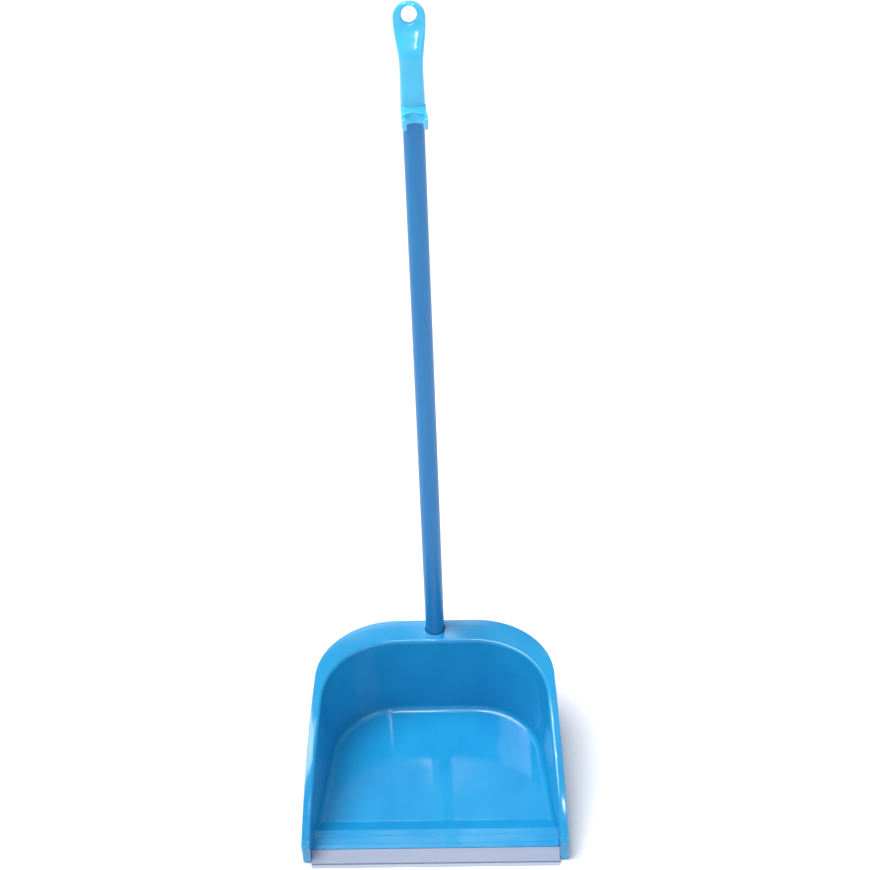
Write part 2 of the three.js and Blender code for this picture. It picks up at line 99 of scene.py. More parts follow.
def rounded(
    points: Sequence[tuple[float, float]], radii: Sequence[float], steps: int = 5
) -> list[Vector]:
    """Round the corners of a closed profile with arcs.

    Args:
        points: The corners in order, in mm.
        radii: One radius for each corner, 0 where it stays sharp.
        steps: Flats along each arc.

    Returns:
        The profile's points in order.
    """
    made: list[Vector] = []
    count = len(points)
    for index, (point, radius) in enumerate(zip(points, radii)):
        here = Vector(point)
        if radius <= 0.0:
            made.append(here)
            continue
        back = (Vector(points[index - 1]) - here).normalized()
        ahead = (Vector(points[(index + 1) % count]) - here).normalized()
        half = math.acos(max(-1.0, min(1.0, back.dot(ahead)))) / 2.0
        centre = here + (back + ahead).normalized() * (radius / math.sin(half))
        start = here + back * (radius / math.tan(half)) - centre
        finish = here + ahead * (radius / math.tan(half)) - centre
        sweep = start.angle_signed(finish)
        for step in range(steps + 1):
            turned = start.copy()
            turned.rotate(Matrix.Rotation(-sweep * step / steps, 2))
            made.append(centre + turned)
    return made


def on_ground(a: Vector, b: Vector) -> bool:
    """Say whether both ends of an edge, in mm, stand on the ground."""
    return max(a.z, b.z) < NEAR


def clear_selection() -> None:
    """Leave nothing selected and no object active."""
    bpy.ops.object.select_all(action="DESELECT")
    bpy.context.view_layer.objects.active = None


# ------------------------------------------------------------------ the bench


class Workpiece:
    """A mesh on the bench, shaped with Blender's own operators."""

    def __init__(self, piece: bpy.types.Object, name: str) -> None:
        """Take up an object and give it its name.

        Args:
            piece: The object.
            name: The name that it and its mesh get.
        """
        self.piece = piece
        piece.name = name
        piece.data.name = name

    @classmethod
    def block(cls, name: str, low: Sequence[float], high: Sequence[float]) -> "Workpiece":
        """Start from a cube set between two corners.

        Args:
            name: Name of the workpiece.
            low: Lowest corner in mm.
            high: Highest corner in mm.

        Returns:
            The block, with its place in its mesh.
        """
        clear_selection()
        middle = [(a + b) / 2.0 * MM for a, b in zip(low, high)]
        size = [(b - a) * MM for a, b in zip(low, high)]
        bpy.ops.mesh.primitive_cube_add(size=1.0, location=middle, scale=size)
        made = cls(bpy.context.object, name)
        made.freeze()
        return made

    @classmethod
    def face(cls, name: str, points: Sequence[Vector]) -> "Workpiece":
        """Start from a filled circle whose corners are set on a flat outline.

        Args:
            name: Name of the workpiece.
            points: The outline's corners in order, in mm.

        Returns:
            The flat face.
        """
        clear_selection()
        bpy.ops.mesh.primitive_circle_add(vertices=len(points), radius=MM, fill_type="NGON")
        made = cls(bpy.context.object, name)
        for vertex, point in zip(made.piece.data.vertices, points):
            vertex.co = Vector(point) * MM
        return made

    @classmethod
    def drawn(cls, name: str, points: Sequence[Vector], along: Sequence[float]) -> "Workpiece":
        """Start from a flat outline and draw it out into a solid.

        Args:
            name: Name of the workpiece.
            points: The outline's corners in order, in mm.
            along: How far and which way it is drawn, in mm.

        Returns:
            The closed solid.
        """
        made = cls.face(name, points)
        with made.editing():
            bpy.ops.mesh.extrude_region_move(TRANSFORM_OT_translate={"value": Vector(along) * MM})
        made.close()
        return made

    @classmethod
    def stacked(
        cls, name: str, outline: Sequence[Vector], levels: Sequence["Level"]
    ) -> "Workpiece":
        """Start from a flat outline and raise it level by level, resized at each.

        Args:
            name: Name of the workpiece.
            outline: The section's corners for half-sizes of 1, in order.
            levels: The heights with their half-sizes and middles, in mm.

        Returns:
            The closed solid.
        """
        first = levels[0]
        points = [
            Vector((p.x * first.half_x, first.middle_y + p.y * first.half_y, first.height))
            for p in outline
        ]
        made = cls.face(name, points)
        with made.editing():
            for below, level in zip(levels, levels[1:]):
                rise = Vector((0.0, level.middle_y - below.middle_y, level.height - below.height))
                bpy.ops.mesh.extrude_region_move(TRANSFORM_OT_translate={"value": rise * MM})
                bpy.ops.transform.resize(
                    value=(level.half_x / below.half_x, level.half_y / below.half_y, 1.0),
                    center_override=(0.0, level.middle_y * MM, level.height * MM),
                )
        made.close()
        return made

    @classmethod
    def rod(
        cls, name: str, radius: float, bottom: float, top: float, sides: int = ROUND_SIDES
    ) -> "Workpiece":
        """Start from an upright cylinder on the Z axis.

        Args:
            name: Name of the workpiece.
            radius: Radius in mm.
            bottom: Height of the lower end in mm.
            top: Height of the upper end in mm.
            sides: Flats round it.

        Returns:
            The rod, with its place in its mesh.
        """
        clear_selection()
        bpy.ops.mesh.primitive_cylinder_add(
            vertices=sides,
            radius=radius * MM,
            depth=(top - bottom) * MM,
            location=(0.0, 0.0, (top + bottom) / 2.0 * MM),
        )
        made = cls(bpy.context.object, name)
        made.freeze()
        return made

    @contextmanager
    def editing(self) -> Iterator[None]:
        """Hold the workpiece in edit mode with everything selected.

        Yields:
            Nothing; edit mode ends with the block.
        """
        self.hold()
        bpy.ops.object.mode_set(mode="EDIT")
        bpy.ops.mesh.select_all(action="SELECT")
        yield
        bpy.ops.object.mode_set(mode="OBJECT")

    def hold(self) -> None:
        """Select this workpiece alone and make it active."""
        clear_selection()
        self.piece.select_set(True)
        bpy.context.view_layer.objects.active = self.piece

    def freeze(self) -> None:
        """Put the object's place, turn and size into its mesh."""
        self.hold()
        bpy.ops.object.transform_apply(location=True, rotation=True, scale=True)

    def carry(self, matrix: Matrix) -> "Workpiece":
        """Move the workpiece and freeze it there.

        Args:
            matrix: The move, in metres.

        Returns:
            This workpiece.
        """
        self.piece.matrix_world = matrix
        self.freeze()
        return self

    def close(self) -> None:
        """Merge doubles and turn every face outwards."""
        with self.editing():
            bpy.ops.mesh.remove_doubles(threshold=WELD)
            bpy.ops.mesh.normals_make_consistent(inside=False)

    def pick_edges(self, test: Callable[[Vector, Vector], bool]) -> int:
        """Select the edges whose ends pass a test, given in mm.

        Args:
            test: Says of an edge's two ends whether it is wanted.

        Returns:
            How many edges are selected.
        """
        mesh = self.piece.data
        for group in (mesh.vertices, mesh.edges, mesh.polygons):
            group.foreach_set("select", [False] * len(group))
        found = 0
        for edge in mesh.edges:
            ends = [mesh.vertices[i].co / MM for i in edge.vertices]
            edge.select = bool(test(*ends))
            found += edge.select
            for i in edge.vertices:
                mesh.vertices[i].select = mesh.vertices[i].select or edge.select
        return found

    def soften(
        self, test: Callable[[Vector, Vector], bool], width: float, segments: int
    ) -> None:
        """Bevel the edges that pass a test.

        Args:
            test: Says of an edge's two ends, in mm, whether it is wanted.
            width: Width of the bevel in mm.
            segments: Flats across the bevel.
        """
        self.hold()
        bpy.context.tool_settings.mesh_select_mode = (False, True, False)
        if self.pick_edges(test):
            bpy.ops.object.mode_set(mode="EDIT")
            bpy.ops.mesh.bevel(
                offset=width * MM, segments=segments, profile=0.5, clamp_overlap=True
            )
            bpy.ops.object.mode_set(mode="OBJECT")
        bpy.context.tool_settings.mesh_select_mode = (True, False, False)

    def trim(self, place: Sequence[float], facing: Sequence[float]) -> None:
        """Cut off what lies beyond a plane and fill the cut.

        Args:
            place: A point of the plane in mm.
            facing: The side that is cut away.
        """
        with self.editing():
            bpy.ops.mesh.bisect(
                plane_co=Vector(place) * MM,
                plane_no=Vector(facing).normalized(),
                use_fill=True,
                clear_outer=True,
            )
        self.close()

    def work(self, tool: "Workpiece", how: Solid) -> "Workpiece":
        """Join or cut with another workpiece, which is used up.

        Args:
            tool: The other solid.
            how: Whether it cuts or joins.

        Returns:
            This workpiece.
        """
        change = self.piece.modifiers.new(tool.piece.name, "BOOLEAN")
        change.operation = how.value
        change.object = tool.piece
        change.solver = "EXACT"
        self.hold()
        bpy.ops.object.modifier_apply(modifier=change.name)
        mesh = tool.piece.data
        bpy.data.objects.remove(tool.piece)
        bpy.data.meshes.remove(mesh)
        return self

    def finish(self, angle: float, dress: bpy.types.Material) -> None:
        """Shade the finished shape softly and dress it.

        Args:
            angle: Edges sharper than this many degrees stay crisp.
            dress: The material it wears.
        """
        self.hold()
        bpy.ops.object.shade_smooth_by_angle(angle=math.radians(angle))
        weigh = self.piece.modifiers.new("weighted", "WEIGHTED_NORMAL")
        weigh.keep_sharp = True
        bpy.ops.object.modifier_apply(modifier=weigh.name)
        self.piece.data.materials.clear()
        self.piece.data.materials.append(dress)
        LOG.info("%s: %d faces", self.piece.name, len(self.piece.data.polygons))


@dataclass(frozen=True)
class Level:
    """One level of a stacked solid: its height, half-sizes and middle, in mm."""

    height: float
    half_x: float
    half_y: float
    middle_y: float = 0.0


def section(corners: int, fullness: float) -> list[Vector]:
    """Give a round or squarish section for half-sizes of 1.

    Args:
        corners: Number of points.
        fullness: 2 for an ellipse, more for flatter sides.

    Returns:
        The section's points, counter-clockwise.
    """
    power = 2.0 / fullness
    made = []
    for index in range(corners):
        turn = FULL_TURN * index / corners
        place = (math.cos(turn), math.sin(turn))
        made.append(Vector([math.copysign(abs(part) ** power, part) for part in place]))
    return made


# ------------------------------------------------------------------ node tools


class NodeSheet:
    """A node tree that is laid out from left to right."""

    spacing = 220

    def __init__(self, tree: bpy.types.NodeTree) -> None:
        """Take up a tree with no nodes."""
        self.tree = tree
        self.column = 0

    def add(self, kind: str, **settings: object) -> bpy.types.Node:
        """Add a node and set its properties.

        Args:
            kind: The node's type name.
            **settings: Values for the node's own properties.

        Returns:
            The new node.
        """
        node = self.tree.nodes.new(kind)
        node.location = (self.spacing * self.column, 0)
        self.column += 1
        for key, value in settings.items():
            setattr(node, key, value)
        return node

    def link(self, source: bpy.types.NodeSocket, target: bpy.types.NodeSocket) -> None:
        """Join an output to an input."""
        self.tree.links.new(source, target)

    def noise(
        self, vector: bpy.types.NodeSocket, scale: float, detail: float
    ) -> bpy.types.NodeSocket:
        """Add a noise pattern.

        Args:
            vector: Where it is read.
            scale: Its scale, in cells to the metre.
            detail: How many finer layers it has.

        Returns:
            The pattern's value.
        """
        node = self.add("ShaderNodeTexNoise")
        node.inputs["Scale"].default_value = scale
        node.inputs["Detail"].default_value = detail
        self.link(vector, node.inputs["Vector"])
        return node.outputs["Fac"]

    def ranged(
        self, value: bpy.types.NodeSocket, taken: tuple[float, float], given: tuple[float, float]
    ) -> bpy.types.NodeSocket:
        """Map one range of a value onto another, held at its ends.

        Args:
            value: The value.
            taken: The range it is read over.
            given: The range it comes out in.

        Returns:
            The mapped value.
        """
        node = self.add("ShaderNodeMapRange")
        for name, number in zip(("From Min", "From Max", "To Min", "To Max"), (*taken, *given)):
            node.inputs[name].default_value = number
        self.link(value, node.inputs["Value"])
        return node.outputs["Result"]

    def sum(
        self, first: bpy.types.NodeSocket, second: bpy.types.NodeSocket, how: str
    ) -> bpy.types.NodeSocket:
        """Work two values together.

        Args:
            first: The first value.
            second: The second value.
            how: The math node's operation.

        Returns:
            The result.
        """
        node = self.add("ShaderNodeMath", operation=how)
        self.link(first, node.inputs[0])
        self.link(second, node.inputs[1])
        return node.outputs[0]

    def scaled(self, value: bpy.types.NodeSocket, by: float) -> bpy.types.NodeSocket:
        """Multiply a value by a number.

        Args:
            value: The value.
            by: The number.

        Returns:
            The product.
        """
        node = self.add("ShaderNodeMath", operation="MULTIPLY")
        node.inputs[1].default_value = by
        self.link(value, node.inputs[0])
        return node.outputs[0]

    def blended(
        self,
        share: bpy.types.NodeSocket,
        low: bpy.types.NodeSocket | tuple[float, ...],
        high: bpy.types.NodeSocket | tuple[float, ...],
    ) -> bpy.types.NodeSocket:
        """Blend two colours.

        Args:
            share: How much of the second colour there is.
            low: The first colour, or the socket that gives it.
            high: The second colour, or the socket that gives it.

        Returns:
            The blended colour.
        """
        node = self.add("ShaderNodeMix", data_type="RGBA")
        self.link(share, node.inputs[0])
        for socket, value in ((node.inputs[6], low), (node.inputs[7], high)):
            if isinstance(value, bpy.types.NodeSocket):
                self.link(value, socket)
            else:
                socket.default_value = value
        return node.outputs[2]

    def stretched(
        self,
        vector: bpy.types.NodeSocket,
        scale: Sequence[float],
        turn: Sequence[float] = (0.0, 0.0, 0.0),
    ) -> bpy.types.NodeSocket:
        """Turn and stretch the place where a pattern is read.

        Args:
            vector: The place.
            scale: Factor along each axis.
            turn: Turn about each axis in radians.

        Returns:
            The changed place.
        """
        node = self.add("ShaderNodeMapping")
        node.inputs["Scale"].default_value = scale
        node.inputs["Rotation"].default_value = turn
        self.link(vector, node.inputs["Vector"])
        return node.outputs["Vector"]


class Effects:
    """Shader groups that several finishes share, each built once."""

    # Scale and detail of each pattern.
    flow = (17.0, 0.6)
    grain = (900.0, 3.0)
    swirl = (26.0, 4.0)
    dull_patches = (34.0, 5.0)
    rub_breaks = (120.0, 3.0)

    # Stretch, turn, and scale with detail, of the scratches along and across.
    scratch_runs = (
        ((22.0, 1.0, 1.0), (0.0, 0.0, 0.18), (46.0, 2.0)),
        ((1.0, 26.0, 1.0), (0.0, 0.0, -0.3), (38.0, 2.0)),
    )
    swirl_stretch = (1.0, 0.45, 1.0)

    # The stretch of each pattern that becomes a mask.
    whole = (0.0, 1.0)
    mottle_range = (0.35, 0.65)
    scratch_range = (0.68, 0.8)
    dull_range = (0.45, 0.75)
    edge_range = (0.52, 0.62)
    break_range = (0.3, 0.6)
    break_depth = (0.3, 1.0)

    def __init__(self) -> None:
        """Build every group."""
        self.relief = self.moulding_relief()
        self.scuffs = self.handling_scuffs()
        self.rub = self.edge_rub()

    @staticmethod
    def start(
        name: str, takes: Sequence[tuple[str, str]], gives: Sequence[str]
    ) -> tuple[bpy.types.NodeTree, NodeSheet, bpy.types.Node, bpy.types.Node]:
        """Start a shader group with its sockets.

        Args:
            name: The group's name.
            takes: Name and kind of each input.
            gives: Name of each value it puts out.

        Returns:
            The group, its sheet, its input node and its output node.
        """
        group = bpy.data.node_groups.new(name, "ShaderNodeTree")
        for label, kind in takes:
            group.interface.new_socket(label, in_out="INPUT", socket_type=kind)
        for label in gives:
            group.interface.new_socket(label, in_out="OUTPUT", socket_type="NodeSocketFloat")
        sheet = NodeSheet(group)
        return group, sheet, sheet.add("NodeGroupInput"), sheet.add("NodeGroupOutput")

    def moulding_relief(self) -> bpy.types.NodeTree:
        """Build the slight unevenness of a moulded surface.

        Returns:
            A group that gives a height and a colour mottle.
        """
        takes = [
            ("Vector", "NodeSocketVector"),
            ("Flow", "NodeSocketFloat"),
            ("Grain", "NodeSocketFloat"),
        ]
        group, sheet, entry, leave = self.start("Moulding Relief", takes, ["Height", "Mottle"])
        place = entry.outputs["Vector"]
        flow = sheet.noise(place, *self.flow)
        grain = sheet.noise(place, *self.grain)
        swirl = sheet.noise(sheet.stretched(place, self.swirl_stretch), *self.swirl)
        waved = sheet.sum(flow, entry.outputs["Flow"], "MULTIPLY")
        grained = sheet.sum(grain, entry.outputs["Grain"], "MULTIPLY")
        sheet.link(sheet.sum(waved, grained, "ADD"), leave.inputs["Height"])
        sheet.link(sheet.ranged(swirl, self.mottle_range, self.whole), leave.inputs["Mottle"])
        return group

    def handling_scuffs(self) -> bpy.types.NodeTree:
        """Build the fine scratches and dull patches of a used surface.

        Returns:
            A group that gives a scratch mask and a dull mask.
        """
        takes = [("Vector", "NodeSocketVector")]
        group, sheet, entry, leave = self.start("Handling Scuffs", takes, ["Scratch", "Dull"])
        place = entry.outputs["Vector"]
        scratches = [
            sheet.noise(sheet.stretched(place, stretch, turn), *pattern)
            for stretch, turn, pattern in self.scratch_runs
        ]
        scratch = sheet.ranged(sheet.sum(*scratches, "MAXIMUM"), self.scratch_range, self.whole)
        sheet.link(scratch, leave.inputs["Scratch"])
        patches = sheet.noise(place, *self.dull_patches)
        sheet.link(sheet.ranged(patches, self.dull_range, self.whole), leave.inputs["Dull"])
        return group

    def edge_rub(self) -> bpy.types.NodeTree:
        """Build the paler line along rubbed edges.

        Returns:
            A group that gives the edge mask.
        """
        takes = [("Vector", "NodeSocketVector")]
        group, sheet, entry, leave = self.start("Edge Rub", takes, ["Mask"])
        edges = sheet.add("ShaderNodeNewGeometry").outputs["Pointiness"]
        rubbed = sheet.ranged(edges, self.edge_range, self.whole)
        broken = sheet.noise(entry.outputs["Vector"], *self.rub_breaks)
        patchy = sheet.ranged(broken, self.break_range, self.break_depth)
        sheet.link(sheet.sum(rubbed, patchy, "MULTIPLY"), leave.inputs["Mask"])
        return group


@dataclass(frozen=True)
class Finish:
    """A finish: its colours, its gloss and how uneven it is."""

    name: str
    body: str
    deep: str
    pale: str
    gloss: tuple[float, float]
    flow: float
    grain: float
    bump: float
    reach: float = 0.0006
    coat: float = 0.0
    coat_rough: float = 0.08
    worn_tint: float = 0.5
    worn_dull: float = 0.6
    patch_dull: float = 0.8
    scratch: float = 0.25
    metallic: float = 0.0
    ior: float = 1.49
    stretch: tuple[float, float, float] = (1.0, 1.0, 1.0)

    def material(self, effects: Effects) -> bpy.types.Material:
        """Build the material.

        Args:
            effects: The shared shader groups.

        Returns:
            The finished material.
        """
        made = bpy.data.materials.new(self.name)
        made.use_nodes = True
        made.node_tree.nodes.clear()
        made.diffuse_color = colour(self.body)
        sheet = NodeSheet(made.node_tree)
        place = sheet.stretched(sheet.add("ShaderNodeTexCoord").outputs["Object"], self.stretch)
        relief = self.effect(sheet, effects.relief, place)
        relief.inputs["Flow"].default_value = self.flow
        relief.inputs["Grain"].default_value = self.grain
        scuffs = self.effect(sheet, effects.scuffs, place)
        rub = self.effect(sheet, effects.rub, place)
        tinted = sheet.blended(relief.outputs["Mottle"], colour(self.deep), colour(self.body))
        scratched = sheet.scaled(scuffs.outputs["Scratch"], self.scratch)
        worn = sheet.sum(scratched, rub.outputs["Mask"], "MAXIMUM")
        painted = sheet.blended(sheet.scaled(worn, self.worn_tint), tinted, colour(self.pale))
        patches = sheet.scaled(scuffs.outputs["Dull"], self.patch_dull)
        dulled = sheet.sum(patches, sheet.scaled(worn, self.worn_dull), "ADD")
        shader = sheet.add("ShaderNodeBsdfPrincipled")
        shader.inputs["Metallic"].default_value = self.metallic
        shader.inputs["IOR"].default_value = self.ior
        shader.inputs["Coat Weight"].default_value = self.coat
        shader.inputs["Coat Roughness"].default_value = self.coat_rough
        sheet.link(painted, shader.inputs["Base Color"])
        sheet.link(sheet.ranged(dulled, (0.0, 1.0), self.gloss), shader.inputs["Roughness"])
        bump = sheet.add("ShaderNodeBump")
        bump.inputs["Strength"].default_value = self.bump
        bump.inputs["Distance"].default_value = self.reach
        sheet.link(relief.outputs["Height"], bump.inputs["Height"])
        sheet.link(bump.outputs["Normal"], shader.inputs["Normal"])
        end = sheet.add("ShaderNodeOutputMaterial")
        sheet.link(shader.outputs["BSDF"], end.inputs["Surface"])
        return made

    @staticmethod
    def effect(
        sheet: NodeSheet, group: bpy.types.NodeTree, place: bpy.types.NodeSocket
    ) -> bpy.types.Node:
        """Place a shared group in a material.

        Args:
            sheet: The material's sheet.
            group: The shared group.
            place: Where its patterns are read.

        Returns:
            The group's node.
        """
        node = sheet.add("ShaderNodeGroup", node_tree=group)
        sheet.link(place, node.inputs["Vector"])
        return node


@dataclass
class Palette:
    """Every finish of the dustpan, built as it is first asked for."""

    effects: Effects = field(default_factory=Effects)
    built: dict[str, bpy.types.Material] = field(default_factory=dict)

    scoop_gloss: Finish = Finish(
        "scoop_gloss_blue", "2197cc", "1c90c8", "60bce4", (0.09, 0.22),
        flow=1.0, grain=0.003, bump=0.32, reach=0.004, coat=0.3, scratch=0.1,
    )
    grip_gloss: Finish = Finish(
        "grip_gloss_blue", "4cc8f2", "44c0ec", "96defa", (0.12, 0.26),
        flow=0.5, grain=0.02, bump=0.3, reach=0.001, coat=0.25,
    )
    sleeve_satin: Finish = Finish(
        "sleeve_satin_blue", "157cbc", "1276b6", "54a0d4", (0.32, 0.5),
        flow=0.3, grain=0.12, bump=0.25, reach=0.0008, stretch=(1.0, 1.0, 0.08),
    )
    lip_vinyl: Finish = Finish(
        "lip_grey_vinyl", "8b95ab", "848ea5", "a4aec4", (0.42, 0.6),
        flow=0.4, grain=0.15, bump=0.3, reach=0.0008, stretch=(0.12, 1.0, 1.0),
    )
    wiper_vinyl: Finish = Finish(
        "wiper_pale_vinyl", "a8b2c9", "9eaac2", "bcc6dc", (0.48, 0.66),
        flow=0.5, grain=0.2, bump=0.4, reach=0.0008, stretch=(0.15, 1.0, 1.0),
    )
    bare_steel: Finish = Finish(
        "tube_bare_steel", "9a9da0", "8c8f93", "c4c6c9", (0.28, 0.5),
        flow=0.1, grain=0.3, bump=0.3, reach=0.0004, metallic=1.0, stretch=(1.0, 1.0, 0.05),
    )
    plug_dark: Finish = Finish(
        "plug_dark_grey", "3a3d42", "33363b", "5c6066", (0.45, 0.65),
        flow=0.3, grain=0.2, bump=0.3,
    )

    def get(self, finish: Finish) -> bpy.types.Material:
        """Give a finish's material, building it the first time.

        Args:
            finish: One of the palette's finishes.

        Returns:
            Its material.
        """
        if finish.name not in self.built:
            self.built[finish.name] = finish.material(self.effects)
        return self.built[finish.name]


# ------------------------------------------------------------------ the scoop


class Zone(Enum):
    """The stretches of the scoop's plan outline."""

    SIDE = "side"
    CORNER = "corner"
    REAR = "rear"


@dataclass(frozen=True)
class Station:
    """A place round the scoop: its stretch, the share along it, and which hand it is on."""

    zone: Zone
    share: float
    hand: int

    def outward(self) -> Vector:
        """Give the direction away from the scoop's inside.

        Returns:
            A level direction of length 1.
        """
        if self.zone is Zone.SIDE:
            return Vector((self.hand, 0.0, 0.0))
        if self.zone is Zone.REAR:
            return Vector((0.0, 1.0, 0.0))
        turn = self.share * QUARTER_TURN
        return Vector((self.hand * math.cos(turn), math.sin(turn), 0.0))


@dataclass(frozen=True)
class PlanLine:
    """A plan outline of the scoop, in mm: half-widths, rear and rear corner radius."""

    front: float
    side: float
    back: float
    corner: float

    def at(self, station: Station, front_y: float, grow: float = 0.0) -> Vector:
        """Find a place on the outline.

        Args:
            station: Which place it is.
            front_y: Where the outline starts at the front.
            grow: How far the outline is grown outwards.

        Returns:
            The point, at height 0.
        """
        corner_y = self.back - self.corner
        centre_x = self.side - self.corner
        if station.zone is Zone.SIDE:
            x = mix(self.front, self.side, station.share) + grow
            y = mix(front_y, corner_y, station.share)
        elif station.zone is Zone.CORNER:
            turn = station.share * QUARTER_TURN
            x = centre_x + (self.corner + grow) * math.cos(turn)
            y = corner_y + (self.corner + grow) * math.sin(turn)
        else:
            x = centre_x * station.share
            y = self.back + grow
        return Vector((station.hand * x, y, 0.0))

    def half_at(self, y: float, front_y: float) -> float:
        """Return the half-width of the straight side at a depth."""
        return mix(self.front, self.side, (y - front_y) / (self.back - self.corner - front_y))


@dataclass(frozen=True)
class ScoopSizes:
    """Sizes of the scoop that several of its pieces share, in mm."""

    rim_line: PlanLine = PlanLine(147.2, 139.2, 139.25, 93.0)
    wall_line: PlanLine = PlanLine(139.5, 130.2, 103.25, 88.0)
    floor_line: PlanLine = PlanLine(138.0, 124.5, 92.75, 82.0)
    tip_y: float = -139.25
    front_y: float = -131.75
    level_y: float = 90.75
    rim_height: float = 110.0
    front_height: float = 30.0
    floor_top: float = 6.0
    thickness: float = 2.2
    fillet: float = 7.0
    skirt_drop: float = 7.0
    skirt_wall: float = 1.8
    cheek_bottom: float = 2.0
    foot_y: float = -80.25
    crest_y: float = -96.75
    crest_height: float = 12.5
    lip_back: tuple[float, float] = (-120.45, 8.8)
    lip_front: tuple[float, float] = (-136.35, 4.0)
    lip_half: float = 137.4
    lip_gap: float = 0.3
    lip_leg: float = 1.2
    lip_nose: float = 6.6
    tongue: float = 1.7
    hole_y: float = 124.85
    lean: float = math.radians(5.7)
    tube_radius: float = 11.0
    tube_gap: float = 0.3
    hole_ease: float = 0.8
    shown: float = 637.0
    grip_socket: float = 62.0

    @property
    def bore(self) -> float:
        """Radius of the socket that the tube stands in."""
        return self.tube_radius + self.tube_gap

    @property
    def hole_radius(self) -> float:
        """Radius of the rim's hole."""
        return self.bore + self.hole_ease

    @property
    def tongue_top(self) -> float:
        """Depth of the tongue's upper face under the lip's top."""
        return self.lip_leg + self.lip_gap

    @property
    def fillet_top(self) -> float:
        """Height at which the wall leaves the floor's fillet."""
        return self.floor_top + self.fillet

    @property
    def handle(self) -> Matrix:
        """The matrix that stands a piece made along Z in the rim's hole, in metres."""
        place = Matrix.Translation(Vector((0.0, self.hole_y, self.rim_height)) * MM)
        return place @ Matrix.Rotation(-self.lean, 4, "X")

    def rim_top(self, y: float) -> float:
        """Give the height of the rim's top: level at the rear, then one arc down.

        Args:
            y: The depth at which it is asked for.

        Returns:
            The height there.
        """
        run = self.level_y - self.front_y
        drop = self.rim_height - self.front_height
        radius = (run**2 + drop**2) / (2.0 * drop)
        if y >= self.level_y:
            return self.rim_height
        return self.rim_height - radius + math.sqrt(radius**2 - (self.level_y - y) ** 2)

    def lip_point(self, along: float, deep: float) -> Vector:
        """Find a point of the lip's section.

        Args:
            along: How far back from the lip's front edge.
            deep: How far under its top face.

        Returns:
            The point's Y and Z.
        """
        front = Vector(self.lip_front)
        run = (Vector(self.lip_back) - front).normalized()
        return front + run * along + Vector((run.y, -run.x)) * deep

    @property
    def lip_width(self) -> float:
        """Width of the lip's top face."""
        return (Vector(self.lip_back) - Vector(self.lip_front)).length


